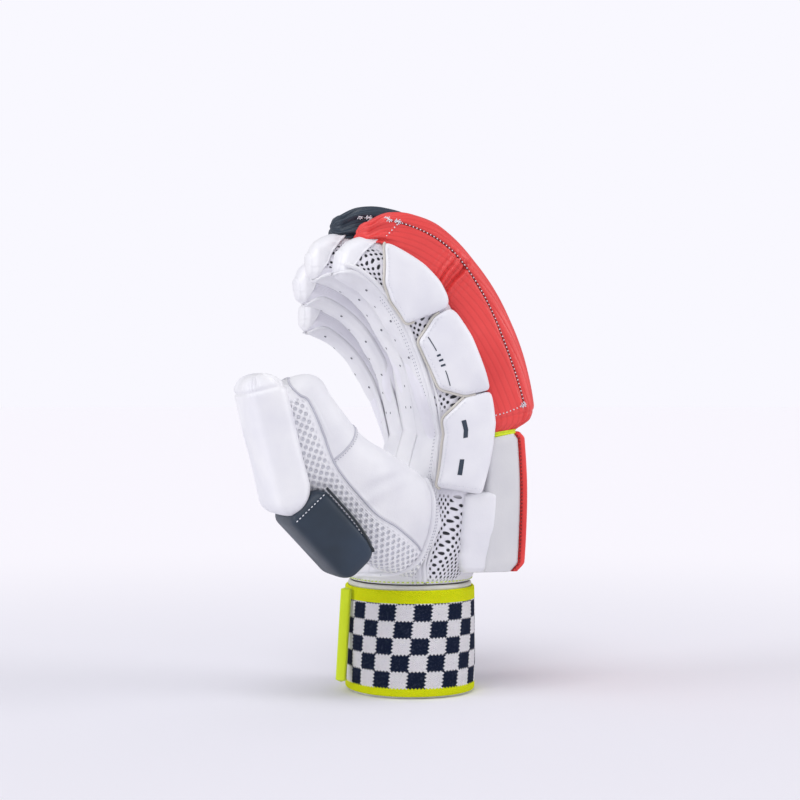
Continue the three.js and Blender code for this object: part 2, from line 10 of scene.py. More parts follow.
# %% Load the frame
import bmesh
import bpy
import numpy as np
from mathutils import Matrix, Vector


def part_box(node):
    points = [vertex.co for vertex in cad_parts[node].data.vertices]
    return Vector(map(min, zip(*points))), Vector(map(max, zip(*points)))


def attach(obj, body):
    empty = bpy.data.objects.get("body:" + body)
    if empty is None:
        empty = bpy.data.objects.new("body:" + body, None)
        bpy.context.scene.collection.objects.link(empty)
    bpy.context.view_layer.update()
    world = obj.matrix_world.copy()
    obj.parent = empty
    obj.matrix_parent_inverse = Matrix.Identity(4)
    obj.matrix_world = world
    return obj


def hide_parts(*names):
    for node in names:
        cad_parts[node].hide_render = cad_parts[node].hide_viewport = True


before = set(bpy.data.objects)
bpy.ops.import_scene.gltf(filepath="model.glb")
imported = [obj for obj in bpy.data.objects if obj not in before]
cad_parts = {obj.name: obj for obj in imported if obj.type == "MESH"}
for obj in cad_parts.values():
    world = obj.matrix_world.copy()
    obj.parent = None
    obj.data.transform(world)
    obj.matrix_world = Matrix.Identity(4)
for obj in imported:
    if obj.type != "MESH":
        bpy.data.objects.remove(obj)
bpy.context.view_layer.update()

# %% [markdown]
# ## Camera
#
# The photograph was taken level, with a long lens, looking mostly along +Y and turned a little towards
# the back of the hand. The sizes below are in millimetres from the wrist's axis, which runs up the middle
# of the cuff. All pieces are drawn from that axis and then moved to the frame's own place for the cuff.

# %% Place of the wrist's axis, and the camera
MM = 0.001
cuff_low, cuff_high = (np.array(corner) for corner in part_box("cuff_lining"))
wrist = np.array([(cuff_low[0] + cuff_high[0]) / 2, (cuff_low[1] + cuff_high[1]) / 2, 0.0])


def to_frame(points):
    """Millimetres from the wrist's axis to metres in the frame: scale, then add the wrist's place."""
    return np.asarray(points, dtype=float) * MM + wrist


CAMERA_PLACE = (-314.1, -949.4, 162.0)
CAMERA_TURN = -18.0
SENSOR = 36.0
LENS = 80.0

camera_data = bpy.data.cameras.new("camera")
camera_data.lens = LENS
camera_data.sensor_width = SENSOR
camera_data.clip_start = 0.05
camera = bpy.data.objects.new("camera", camera_data)
camera.location = to_frame(CAMERA_PLACE)
camera.rotation_euler = (np.pi / 2, 0.0, np.radians(CAMERA_TURN))
bpy.context.scene.collection.objects.link(camera)
bpy.context.scene.camera = camera
print("camera at", [round(value, 3) for value in camera.location])

# %% [markdown]
# ## Floor and light
#
# A product shot: a pale floor without a horizon and even, soft light. The floor could run up into a
# wall, but a wide flat disc is simpler. It meets a sky of its own colour when the light that falls on it
# is the same everywhere, so the lamps are suns with large discs, which have soft shadows and no falloff.
# The disc is painted a little darker near the glove, a painted shadow like the one on the table round it.


# %% A paint-chip helper and the backdrop
def paint(code, alpha=1.0):
    """A colour chip such as e9e9ec as linear light: each part is (part + 0.055) / 1.055 to the 2.4."""
    parts = np.array([int(code[i:i + 2], 16) / 255 for i in (0, 2, 4)])
    linear = np.where(parts <= 0.04045, parts / 12.92, ((parts + 0.055) / 1.055) ** 2.4)
    return (*linear.tolist(), alpha)


def add(tree, kind, sockets=None, **settings):
    """Adds a node. Sockets take a number, a colour or another node's output; settings are its own."""
    made = tree.nodes.new("ShaderNode" + kind)
    for name, value in settings.items():
        setattr(made, name, value)
    for name, value in (sockets or {}).items():
        if isinstance(value, bpy.types.NodeSocket):
            tree.links.new(value, made.inputs[name])
        else:
            made.inputs[name].default_value = value
    return made


def new_finish(name, roughness, colour="ffffff", **inputs):
    """A material with its shader's own sockets set. Gives the material, its node tree and shader."""
    material = bpy.data.materials.new(name)
    material.use_nodes = True
    tree = material.node_tree
    shader = tree.nodes["Principled BSDF"]
    shader.inputs["Base Color"].default_value = paint(colour)
    shader.inputs["Roughness"].default_value = roughness
    for socket, value in inputs.items():
        shader.inputs[socket.replace("_", " ")].default_value = value
    return material, tree, shader


FLOOR_RADIUS = 40.0
FLOOR_SIDES = 96
FLOOR_NEAR_SHADOW = "ecebf2"
FLOOR_FAR = "fdfbff"
# Metres from the disc's middle over which the painted shadow near the glove turns into the far colour
FLOOR_FADE = (0.05, 1.0)
# A little light of the floor's own, near and far, hides the line where it meets the sky
FLOOR_GLOW = (0.02, 0.022)
FLOOR_GLOW_COLOUR = "f4f2ff"


def floor_disc():
    """A middle point and a ring of points round it, as one fan of faces."""
    turn = 2 * np.pi * np.arange(FLOOR_SIDES) / FLOOR_SIDES
    ring = np.stack([FLOOR_RADIUS * np.cos(turn), FLOOR_RADIUS * np.sin(turn), 0 * turn], axis=1)
    number = np.arange(FLOOR_SIDES)
    faces = np.stack([0 * number, number + 1, (number + 1) % FLOOR_SIDES + 1], axis=1)
    return np.concatenate([[[0.0, 0.0, 0.0]], ring]), faces


floor_points, floor_faces = floor_disc()
floor_mesh = bpy.data.meshes.new("floor")
floor_mesh.from_pydata(floor_points.tolist(), [], floor_faces.tolist())
floor = bpy.data.objects.new("floor", floor_mesh)
bpy.context.scene.collection.objects.link(floor)
floor_paint, floor_tree, floor_shader = new_finish("floor_paint", 1.0, Specular_IOR_Level=0.0)
floor_place = add(floor_tree, "TexCoord").outputs["Object"]
distance = add(floor_tree, "VectorMath", {0: floor_place}, operation="LENGTH").outputs["Value"]
floor_ramp = add(floor_tree, "ValToRGB")
floor_ramp.color_ramp.interpolation = "EASE"
# The ramp's near end is painted shadow round the glove
floor_ramp.color_ramp.elements[0].color = paint(FLOOR_NEAR_SHADOW)
floor_ramp.color_ramp.elements[1].color = paint(FLOOR_FAR)
fade_low, fade_high = FLOOR_FADE
share = add(floor_tree, "MapRange", {"Value": distance, "From Min": fade_low,
                                     "From Max": fade_high}).outputs[0]
floor_tree.links.new(share, floor_ramp.inputs[0])
floor_tree.links.new(floor_ramp.outputs["Color"], floor_shader.inputs["Base Color"])
floor_shader.inputs["Emission Color"].default_value = paint(FLOOR_GLOW_COLOUR)
glow_near, glow_far = FLOOR_GLOW
glow = add(floor_tree, "MapRange", {"Value": share, "To Min": glow_near, "To Max": glow_far}).outputs[0]
floor_tree.links.new(glow, floor_shader.inputs["Emission Strength"])
floor_mesh.materials.append(floor_paint)

# %% Sky and suns
SKY_SEEN = "f9f8ff"
SKY_LIGHT = 0.515
# Name, place, strength, and softness as the degrees that the sun's disc spans
SUNS = [
    ("top_sun", (-300, -480, 850), 1.1, 35),
    ("left_sun", (-900, -40, 260), 0.95, 30),
    ("right_sun", (900, -430, 320), 0.85, 30),
]


def sun(name, place, strength, softness):
    """A sun that shines from a place towards the glove: its -Z axis looks from there to the wrist."""
    data = bpy.data.lights.new(name, "SUN")
    data.energy = strength
    data.angle = np.radians(softness)
    light = bpy.data.objects.new(name, data)
    x, y, z = place
    light.location = to_frame(place)
    light.rotation_euler = (np.arctan2(np.hypot(x, y), z), 0.0, np.arctan2(y, x) + np.pi / 2)
    bpy.context.scene.collection.objects.link(light)


sky = bpy.data.worlds.new("studio_sky")
bpy.context.scene.world = sky
sky.use_nodes = True
sky_tree = sky.node_tree
seen = sky_tree.nodes["Background"]
seen.inputs["Color"].default_value = paint(SKY_SEEN)
lit = add(sky_tree, "Background", {"Color": paint(SKY_SEEN), "Strength": SKY_LIGHT})
switch = add(sky_tree, "MixShader", {0: add(sky_tree, "LightPath").outputs["Is Camera Ray"],
                                     1: lit.outputs[0], 2: seen.outputs[0]})
sky_tree.links.new(switch.outputs[0], sky_tree.nodes["World Output"].inputs["Surface"])
for name, place, strength, softness in SUNS:
    sun(name, place, strength, softness)
bpy.context.scene.view_settings.view_transform = "Standard"

# %% [markdown]
# ## Grids that become meshes
#
# A surface here is an array of points with rows and columns. These helpers turn such a grid into a mesh:
# they can join its last column to its first, close its ends with a pole, and give it a UV map in
# millimetres, so that a weave keeps its scale whatever the piece's size. The side that faces out is found
# from the grid's own normals, so no surface has to be drawn in a certain order.


# %% Grid helpers
def normals(points, wrap=False):
    """Unit normals of a grid: its difference along the columns crossed with that along the rows."""
    wide = np.concatenate([points[:, -1:], points, points[:, :1]], axis=1) if wrap else points
    across = np.gradient(wide, axis=1)
    along = np.gradient(wide, axis=0)
    normal = np.cross(across, along)
    normal /= np.maximum(np.linalg.norm(normal, axis=-1, keepdims=True), 1e-9)
    return normal[:, 1:-1] if wrap else normal


def faces_out(points, wrap=False):
    """1 if the normals point away from the middle of each row, and -1 if they point towards it."""
    away = points - points.mean(axis=1, keepdims=True)
    return 1 if np.sum(normals(points, wrap) * away) > 0 else -1


def raised(points, height, wrap=False):
    """Each point moved outward along its normal by its own height."""
    normal = normals(points, wrap) * faces_out(points, wrap)
    return points + normal * np.broadcast_to(height, points.shape[:2])[..., None]


def lengths(points, wrap=False):
    """Millimetres across and along a grid: running sums of the mean steps between its points."""
    wide = np.concatenate([points, points[:, :1]], axis=1) if wrap else points
    across = np.linalg.norm(np.diff(wide, axis=1), axis=-1).mean(axis=0)
    along = np.linalg.norm(np.diff(points, axis=0), axis=-1).mean(axis=1)
    return np.append(0, np.cumsum(across))[None, :], np.append(0, np.cumsum(along))[:, None]


def link(name, mesh, material):
    """A mesh as an object of the scene, with its finish and smooth shading."""
    made = bpy.data.objects.new(name, mesh)
    bpy.context.scene.collection.objects.link(made)
    mesh.materials.append(material)
    mesh.shade_smooth()
    return made


def skin(name, points, material, wrap=False, closed=(False, False), keep=None, uv=None, marks=None):
    """A piece from a grid of millimetres. Each cell is a face of four corners, closed puts a fan of
    faces on the first or the last row, keep leaves cells out, uv gives the maps across and along the
    grid, and marks are named values at its points."""
    rows, columns = points.shape[:2]
    cells = columns if wrap else columns - 1
    row, column = np.meshgrid(np.arange(rows - 1), np.arange(cells), indexing="ij")
    corner_rows = np.stack([row, row, row + 1, row + 1], axis=-1)
    corner_columns = np.stack([column, column + 1, column + 1, column], axis=-1)
    if keep is not None:
        corner_rows, corner_columns = corner_rows[keep], corner_columns[keep]
    corner_rows, corner_columns = corner_rows.reshape(-1, 4), corner_columns.reshape(-1, 4)
    quads = corner_rows * columns + corner_columns % columns
    u, v = uv if uv is not None else lengths(points, wrap)
    u, v = np.broadcast_to(u, (rows, cells + 1)), np.broadcast_to(v, (rows, cells + 1))
    maps = np.stack([u[corner_rows, corner_columns], v[corner_rows, corner_columns]], axis=-1)
    flat = points.reshape(-1, 3)
    ring = np.arange(columns)
    fans = []
    fan_maps = []
    for at_end, row_number in ((False, 0), (True, rows - 1)):
        if closed[at_end]:
            edge = row_number * columns + np.stack([ring, (ring + 1) % columns], axis=1)
            edge = edge if at_end else edge[:, ::-1]
            pole = np.full(columns, len(flat))
            fans.append(np.column_stack([pole, edge]))
            middle = np.array([u[row_number].mean(), v[row_number].mean()])
            fan_maps.append(np.broadcast_to(middle, (columns, 3, 2)))
            flat = np.concatenate([flat, points[row_number].mean(axis=0, keepdims=True)])
    step = faces_out(points, wrap)
    faces = quads[:, ::step].tolist()
    loops = [maps[:, ::step].reshape(-1, 2)]
    for fan, fan_map in zip(fans, fan_maps):
        faces += fan[:, ::step].tolist()
        loops.append(fan_map.reshape(-1, 2))
    mesh = bpy.data.meshes.new(name)
    mesh.from_pydata(to_frame(flat).tolist(), [], faces)
    mesh.uv_layers.new(name="UVMap").data.foreach_set("uv", np.concatenate(loops).ravel())
    for mark, values in (marks or {}).items():
        layer = mesh.attributes.new(mark, "FLOAT", "POINT")
        spread = np.zeros(len(flat))
        spread[:rows * columns] = np.broadcast_to(values, (rows, columns)).ravel()
        layer.data.foreach_set("value", spread)
    return link(name, mesh, material)


WELD_REACH = 0.02


def weld(piece):
    """Joins the points of a piece that lie closer together than the weld's reach, in millimetres."""
    soft = bmesh.new()
    soft.from_mesh(piece.data)
    bmesh.ops.remove_doubles(soft, verts=soft.verts, dist=WELD_REACH * MM)
    soft.to_mesh(piece.data)
    soft.free()


def wall(piece, thickness):
    """Gives a sheet its thickness, inwards."""
    solid = piece.modifiers.new("wall", "SOLIDIFY")
    solid.thickness = thickness * MM
    solid.offset = -1


def finish_piece(piece, slot, *nodes, fill=None):
    """Rides the glove's only body and hides the model's parts that it stands for. The slot is not used."""
    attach(piece, "root")
    if nodes:
        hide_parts(*nodes)
    print(piece.name, len(piece.data.polygons), "faces")


# %% [markdown]
# ## Smooth tables
#
# The glove's forms are short tables of sections, the same as the solid model's. A straight line between
# two rows would leave a facet, so the tables are read through a cubic that never overshoots: that keeps
# a dip a dip and a crown a crown.


# %% Curves through a table, and round sections
def curve(at, places, values):
    """A cubic through a table. Its slope at a row is the harmonic mean of the slopes beside it, or
    level where they point opposite ways, so it never overshoots."""
    places, values = np.asarray(places, float), np.asarray(values, float)
    steps = np.diff(places)
    slopes = np.diff(values) / steps
    before, after = slopes[:-1], slopes[1:]
    same = before * after > 0
    inner = np.where(same, 2 * before * after / np.where(same, before + after, 1), 0)
    slope = np.concatenate([slopes[:1], inner, slopes[-1:]])
    at = np.clip(at, places[0], places[-1])
    i = np.clip(np.searchsorted(places, at, side="right") - 1, 0, len(steps) - 1)
    t = (at - places[i]) / steps[i]
    rise = slope[i] * steps[i] * t * (1 - t) ** 2 - slope[i + 1] * steps[i] * t * t * (1 - t)
    return values[i] * (1 + 2 * t) * (1 - t) ** 2 + values[i + 1] * t * t * (3 - 2 * t) + rise


def columns_of(rows, at):
    """Every column of a table whose first column is the place, read by the cubic."""
    table = np.array(rows, float)
    return [curve(at, table[:, 0], table[:, i]) for i in range(1, table.shape[1])]


def ease(low, high, at):
    """0 below low, 1 above high, and the smooth step 3t squared - 2t cubed between."""
    t = np.clip((np.asarray(at, float) - low) / (high - low), 0, 1)
    return t * t * (3 - 2 * t)


def corner_power(wave, power):
    """A sine or cosine raised to 2 / power with its sign kept, which squares a circle's corners."""
    return np.sign(wave) * np.abs(wave) ** (2 / power)


def bump_at(distance, width):
    """A soft hump: e to the minus the square of distance over width."""
    return np.exp(-(distance / width) ** 2)


def leaning(lean):
    """The outward direction of sections that lean forward by some radians."""
    return np.stack([np.cos(lean), np.zeros_like(lean), np.sin(lean)], axis=-1)


def sections(x, y, z, lean, out, side):
    """Points = place + out along the leaning direction + side along Y. out and side have a row for
    each place."""
    place = np.stack(np.broadcast_arrays(x, y, z), axis=-1).astype(float)
    points = place[:, None] + out[..., None] * leaning(lean)[:, None]
    points[..., 1] += side
    return points


def dense_turn(count):
    """Angles all round, a half step off the axes."""
    return 2 * np.pi * (np.arange(count) + 0.5) / count


# %% Threads and piping
def unit(vectors):
    """Each vector divided by its length."""
    return vectors / np.maximum(np.linalg.norm(vectors, axis=-1, keepdims=True), 1e-9)


def spaced(path, step):
    """Points at even steps along a path, by its running length."""
    run = np.append(0, np.cumsum(np.linalg.norm(np.diff(path, axis=0), axis=1)))
    at = np.arange(0, run[-1], step)
    return np.stack([np.interp(at, run, path[:, i]) for i in range(path.shape[1])], axis=1)


def piping_grid(path, radius, facing=(0, 1, 0), sides=10):
    """A round profile carried along a path: path + radius * (cos * side + sin * facing)."""
    tangent = unit(np.gradient(path, axis=0))
    side = unit(np.cross(tangent, np.broadcast_to(facing, path.shape)))
    lift = np.cross(side, tangent)
    turn = dense_turn(sides)
    size = np.broadcast_to(radius, len(path))[:, None, None]
    ring = np.cos(turn)[None, :, None] * side[:, None] + np.sin(turn)[None, :, None] * lift[:, None]
    return path[:, None] + size * ring


STITCH_RINGS = np.array([[-1.0, 0.35], [-0.6, 1.0], [0.6, 1.0], [1.0, 0.35]])
STITCH_SIDES = 6


def stitch_row(path, facing, length, gap, radius):
    """Points and faces of short threads along a path. Each is four rings of points, closed."""
    step = length + gap
    fine = spaced(np.concatenate([path, np.broadcast_to(facing, path.shape)], axis=1), step)
    middle, lift = fine[:, :3], unit(fine[:, 3:])
    tangent = unit(np.gradient(middle, axis=0))
    side = unit(np.cross(tangent, lift))
    turn = dense_turn(STITCH_SIDES)
    along = STITCH_RINGS[:, 0][None, :, None, None] * tangent[:, None, None] * length / 2
    across = np.cos(turn)[:, None] * side[:, None, None] + np.sin(turn)[:, None] * lift[:, None, None]
    points = middle[:, None, None] + along + across * radius * STITCH_RINGS[:, 1][None, :, None, None]
    last = len(STITCH_RINGS) - 1
    ring = np.arange(STITCH_SIDES)
    row, column = np.meshgrid(np.arange(last), ring, indexing="ij")
    after = (column + 1) % STITCH_SIDES
    low, high = row * STITCH_SIDES, (row + 1) * STITCH_SIDES
    each = np.stack([low + column, low + after, high + after, high + column], -1).reshape(-1, 4)
    ends = [ring[::-1], last * STITCH_SIDES + ring]
    start = np.arange(len(middle)) * (last + 1) * STITCH_SIDES
    faces = (start[:, None, None] + each).reshape(-1, 4).tolist()
    for end in ends:
        faces += (start[:, None] + end).tolist()
    return points.reshape(-1, 3), faces


def sew(name, rows, material, length=2.4, gap=1.0, radius=0.28):
    """One mesh of all the stitches along several paths. A row is a path and the way it faces."""
    points, faces, count = [], [], 0
    for path, facing in rows:
        more, cells = stitch_row(np.asarray(path, float), np.asarray(facing, float), length, gap, radius)
        faces += [[corner + count for corner in face] for face in cells]
        points.append(more)
        count += len(more)
    mesh = bpy.data.meshes.new(name)
    mesh.from_pydata(to_frame(np.concatenate(points)).tolist(), [], faces)
    soft = bmesh.new()
    soft.from_mesh(mesh)
    bmesh.ops.recalc_face_normals(soft, faces=soft.faces)
    soft.to_mesh(mesh)
    soft.free()
    return link(name, mesh, material)


# %% [markdown]
# ## Finishes
#
# Five materials make a batting glove: white goatskin, white knitted mesh, pigmented red and navy leather,
# woven neon tape, and the coarse two-coloured weave of the wristband. Leather could be one grey with a
# noise bump, but real grain has cells with wrinkles between them, so a cell texture and a noise are
# joined, and a slow noise moves the colour and the gloss a little, as handling does. Grain reads the
# object's own coordinates and so keeps its size on every piece. Ribs, knit and weave follow the surface,
# so they read the UV map, which is in millimetres.


# %% Node helpers
def maths(tree, operation, first, second=None, third=None):
    """One sum in the node tree. Each part is a number or another node's output."""
    made = tree.nodes.new("ShaderNodeMath")
    made.operation = operation
    for i, value in enumerate((first, second, third)):
        if isinstance(value, bpy.types.NodeSocket):
            tree.links.new(value, made.inputs[i])
        elif value is not None:
            made.inputs[i].default_value = value
    return made.outputs[0]


def blend_colour(tree, share, first, second):
    """A mix of two colours, each a chip's code or another node's output."""
    made = tree.nodes.new("ShaderNodeMix")
    made.data_type = "RGBA"
    for name, value in ((0, share), (6, first), (7, second)):
        if isinstance(value, str):
            made.inputs[name].default_value = paint(value)
        elif isinstance(value, bpy.types.NodeSocket):
            tree.links.new(value, made.inputs[name])
        else:
            made.inputs[name].default_value = value
    return made.outputs[2]


def scaled(tree, value, low, high, to_low, to_high):
    """A value from one range mapped onto another and kept inside it."""
    return add(tree, "MapRange", {"Value": value, "From Min": low, "From Max": high,
                                  "To Min": to_low, "To Max": to_high}).outputs[0]


def emboss(tree, shader, height, depth, strength=1.0, below=None):
    """A bump of a height between 0 and 1, depth millimetres deep, over another bump's normal."""
    sockets = {"Height": height, "Distance": depth * MM, "Strength": strength}
    if below is not None:
        sockets["Normal"] = below
    bump = add(tree, "Bump", sockets).outputs[0]
    tree.links.new(bump, shader.inputs["Normal"])
    return bump


def grain_bump(tree, shader, cell, depth):
    """Leather grain: cells of about a size in millimetres, with fine wrinkles between and over them."""
    place = add(tree, "TexCoord").outputs["Object"]
    cells = add(tree, "TexVoronoi", {"Vector": place, "Scale": 1 / (cell * MM)}).outputs["Distance"]
    wrinkle = add(tree, "TexNoise", {"Vector": place, "Scale": 0.4 / (cell * MM), "Detail": 6.0,
                                     "Roughness": 0.65}).outputs[0]
    height = maths(tree, "ADD", maths(tree, "MULTIPLY", cells, 0.5), wrinkle)
    return emboss(tree, shader, height, depth)


# Worn patches in millimetres, and how far they move the roughness
PATCH = 28.0
ROUGHNESS_SPREAD = 0.07


def worn(tree, shader, colour, shade, roughness):
    """A slow noise that moves the colour towards its shade and the roughness up and down."""
    place = add(tree, "TexCoord").outputs["Object"]
    slow = add(tree, "TexNoise", {"Vector": place, "Scale": 1 / (PATCH * MM), "Detail": 3.0}).outputs[0]
    share = scaled(tree, slow, 0.35, 0.7, 0.0, 1.0)
    mixed = blend_colour(tree, share, colour, shade)
    tree.links.new(mixed, shader.inputs["Base Color"])
    gloss = scaled(tree, slow, 0.3, 0.7, roughness - ROUGHNESS_SPREAD, roughness + ROUGHNESS_SPREAD)
    tree.links.new(gloss, shader.inputs["Roughness"])
    return mixed


def leather(name, colour, shade, roughness=0.46, cell=0.9, depth=0.09, **inputs):
    """Leather with a worn colour and a grain of a cell size and a depth in millimetres."""
    material, tree, shader = new_finish(name, roughness, **inputs)
    worn(tree, shader, colour, shade, roughness)
    grain_bump(tree, shader, cell, depth)
    return material


# %% White leather, thread and trim
white_leather = leather("white_leather", "ececef", "dfdfe5", Specular_IOR_Level=0.42)
pad_leather = leather("pad_leather", "eeeef1", "e2e2e9", roughness=0.42, cell=0.6, depth=0.04)
bar_leather = leather("bar_leather", "eeeef2", "e3e3ea", roughness=0.4, cell=0.7, depth=0.05)
block_leather = leather("block_leather", "dcdcde", "d2d2d6", roughness=0.5, cell=0.8, depth=0.07)
grey_piping = leather("grey_piping", "c9c9d2", "b5b5c0", roughness=0.55, cell=0.5, depth=0.04)
cream_piping = leather("cream_piping", "d6d2ca", "c0bcb4", roughness=0.55, cell=0.5, depth=0.04)
hem_leather = leather("hem_leather", "d9d8d2", "c6c5bf", roughness=0.6, cell=0.5, depth=0.05)


def thread(name, colour, shade):
    """Twisted thread: a fine wave along the piece gives the twist."""
    material, tree, shader = new_finish(name, 0.6, Sheen_Weight=0.3)
    place = add(tree, "TexCoord").outputs["Object"]
    twist = add(tree, "TexWave", {"Vector": place, "Scale": 900.0, "Distortion": 2.0},
                bands_direction="DIAGONAL").outputs["Fac"]
    # The wave's troughs take the shade colour: painted shade between the twists
    tree.links.new(blend_colour(tree, twist, shade, colour), shader.inputs["Base Color"])
    emboss(tree, shader, twist, 0.08)
    return material


white_thread = thread("white_thread", "fbfbff", "c9cad6")
grey_thread = thread("grey_thread", "b9bac6", "9091a0")
# Dark thread is the navy pad's real cord and also the painted shadow in the navy rolls' seam grooves
dark_cord_and_seam_shadow = thread("dark_cord_and_seam_shadow", "1c2733", "10181f")
neon_thread = thread("neon_thread", "e6ff1c", "b4cc10")

# %% [markdown]
# ## Red and navy leather
#
# The rolls are covered in a soft pigmented leather, embossed with fine slanted pinstripes. The stripes
# follow each roll, so they come from the UV map: a wave of the sum of both directions, with a narrow
# line of painted shade in each trough. The navy thumb pad has the same leather without stripes.


# %% Ribbed leather
RIB_PITCH = 3.3
RIB_SLANT = 0.16
RIB_LINE = 0.8
RIB_DEPTH = 0.13


def ribbed(name, colour, shade, line):
    """Lines a rib's pitch apart, where across + slant * along is a whole number of pitches."""
    roughness = 0.42
    material, tree, shader = new_finish(name, roughness, Specular_IOR_Level=0.45)
    base = worn(tree, shader, colour, shade, roughness)
    uv = add(tree, "SeparateXYZ", {0: add(tree, "TexCoord").outputs["UV"]})
    slanted = maths(tree, "MULTIPLY_ADD", uv.outputs[1], RIB_SLANT, uv.outputs[0])
    phase = maths(tree, "PINGPONG", slanted, RIB_PITCH / 2)
    groove = scaled(tree, phase, 0.0, RIB_LINE, 1.0, 0.0)
    # The troughs are mixed towards the line colour: painted shade in the grooves of the ribs
    mixed = blend_colour(tree, maths(tree, "MULTIPLY", groove, 0.3), base, line)
    tree.links.new(mixed, shader.inputs["Base Color"])
    fine = grain_bump(tree, shader, 0.6, 0.05)
    emboss(tree, shader, maths(tree, "SUBTRACT", 1.0, groove), RIB_DEPTH, below=fine)
    return material


# The last colour of each is the painted shade in the rib troughs
red_leather = ribbed("red_leather", "ec4a48", "df3f3e", "c22f2c")
navy_roll_leather = ribbed("navy_roll_leather", "2b3a49", "243240", "141d26")
red_facing = leather("red_facing", "ea413d", "dd3533", roughness=0.45, cell=0.6, depth=0.06)
navy_leather = leather("navy_leather", "27374a", "1d2b39", roughness=0.48, cell=0.45, depth=0.06)

# %% [markdown]
# ## Knitted mesh
#
# Spacer mesh is knitted with rows of open holes. Cutting every hole would cost a million faces, so the
# surface is dented where a hole is and the material paints shade in the same place, for the shaded
# inside seen through it: both use one formula, with the holes in staggered rows on the UV map. A mark
# on the points, called open, says where the knit is open and where it closes up.


# %% Mesh
class Knit:
    """Hole sizes and pitches of a mesh, in millimetres: across and along."""

    def __init__(self, pitch, hole):
        self.pitch = pitch
        self.hole = hole


SIDE_KNIT = Knit(pitch=(3.6, 2.2), hole=(0.74, 0.9))
THUMB_KNIT = Knit(pitch=(4.2, 2.3), hole=(1.05, 1.05))
# Shares of a hole's half sizes between which its dent, and its painted shade, come to an end
HOLE_DENT = (0.55, 1.15)
HOLE_SHADE = (0.8, 1.1)
KNIT_RIB = 0.45
KNIT_LOOP = 0.35


def hole_depth(knit, u, v):
    """1 in a hole and 0 between: the distance to the nearest middle, where odd rows are moved on by
    half a pitch, in shares of the hole's half sizes."""
    row = np.floor(v / knit.pitch[1])
    across = (u + (row % 2) * knit.pitch[0] / 2) % knit.pitch[0] - knit.pitch[0] / 2
    along = v % knit.pitch[1] - knit.pitch[1] / 2
    away = np.hypot(across / knit.hole[0], along / knit.hole[1])
    return 1 - ease(*HOLE_DENT, away)


def mesh_cloth(name, knit, colour, shade, hole_shade):
    """The same holes as in hole_depth, with a fine knit between them."""
    material, tree, shader = new_finish(name, 0.75, Sheen_Weight=0.25)
    uv = add(tree, "SeparateXYZ", {0: add(tree, "TexCoord").outputs["UV"]})
    u, v = uv.outputs[0], uv.outputs[1]
    row = maths(tree, "FLOOR", maths(tree, "DIVIDE", v, knit.pitch[1]))
    shift = maths(tree, "MULTIPLY", maths(tree, "FLOORED_MODULO", row, 2.0), knit.pitch[0] / 2)
    wide = maths(tree, "FLOORED_MODULO", maths(tree, "ADD", u, shift), knit.pitch[0])
    across = maths(tree, "DIVIDE", maths(tree, "SUBTRACT", wide, knit.pitch[0] / 2), knit.hole[0])
    high = maths(tree, "FLOORED_MODULO", v, knit.pitch[1])
    along = maths(tree, "DIVIDE", maths(tree, "SUBTRACT", high, knit.pitch[1] / 2), knit.hole[1])
    away = maths(tree, "SQRT", maths(tree, "ADD", maths(tree, "MULTIPLY", across, across),
                                     maths(tree, "MULTIPLY", along, along)))
    # Holes are painted the hole's shade colour: painted shade of the inside seen through them
    hole = scaled(tree, away, *HOLE_SHADE, 1.0, 0.0)
    opened = maths(tree, "MULTIPLY", hole, add(tree, "Attribute", attribute_name="open").outputs["Fac"])
    base = worn(tree, shader, colour, shade, 0.75)
    tree.links.new(blend_colour(tree, opened, base, hole_shade), shader.inputs["Base Color"])
    ribs = maths(tree, "PINGPONG", u, KNIT_RIB)
    loops = maths(tree, "PINGPONG", v, KNIT_LOOP)
    knitted = maths(tree, "ADD", maths(tree, "MULTIPLY", ribs, 1.2), loops)
    fine = emboss(tree, shader, knitted, 0.22)
    emboss(tree, shader, maths(tree, "SUBTRACT", 1.0, opened), 0.5, below=fine)
    return material


# The last colour of each mesh is the painted shade inside its holes
side_mesh = mesh_cloth("side_mesh", SIDE_KNIT, "f4f3fa", "e5e4ed", "171a24")
thumb_cloth = mesh_cloth("thumb_cloth", THUMB_KNIT, "fafafd", "efeff4", "d6d7df")

# %% [markdown]
# ## Weave of the wristband and the neon tape
#
# The band is a thick two-coloured elastic: five rows of white and navy checks between neon selvedges.
# The yarns lie in small slanted floats, so their edges are a little jagged: a fast triangle wave
# pushes each check's border.


# %% Band and tape
CHECK_HEIGHT = 9.1
CHECK_WIDTH = 9.8
SELVEDGE_LOW = 6.3
SELVEDGE_HIGH = 51.8
CHECKS_ROUND = 24
CHECK_START = 5.0
CHECK_LEAN = -0.10
YARN = CHECK_WIDTH * CHECKS_ROUND / 240


def yarn_height(tree, u, v):
    """Floats of yarn: a triangle wave along a slant that changes its side with each column."""
    side = maths(tree, "PINGPONG", u, YARN)
    slant = maths(tree, "MULTIPLY_ADD", side, 0.9, v)
    return maths(tree, "MULTIPLY", maths(tree, "PINGPONG", slant, YARN / 2), 2.0)


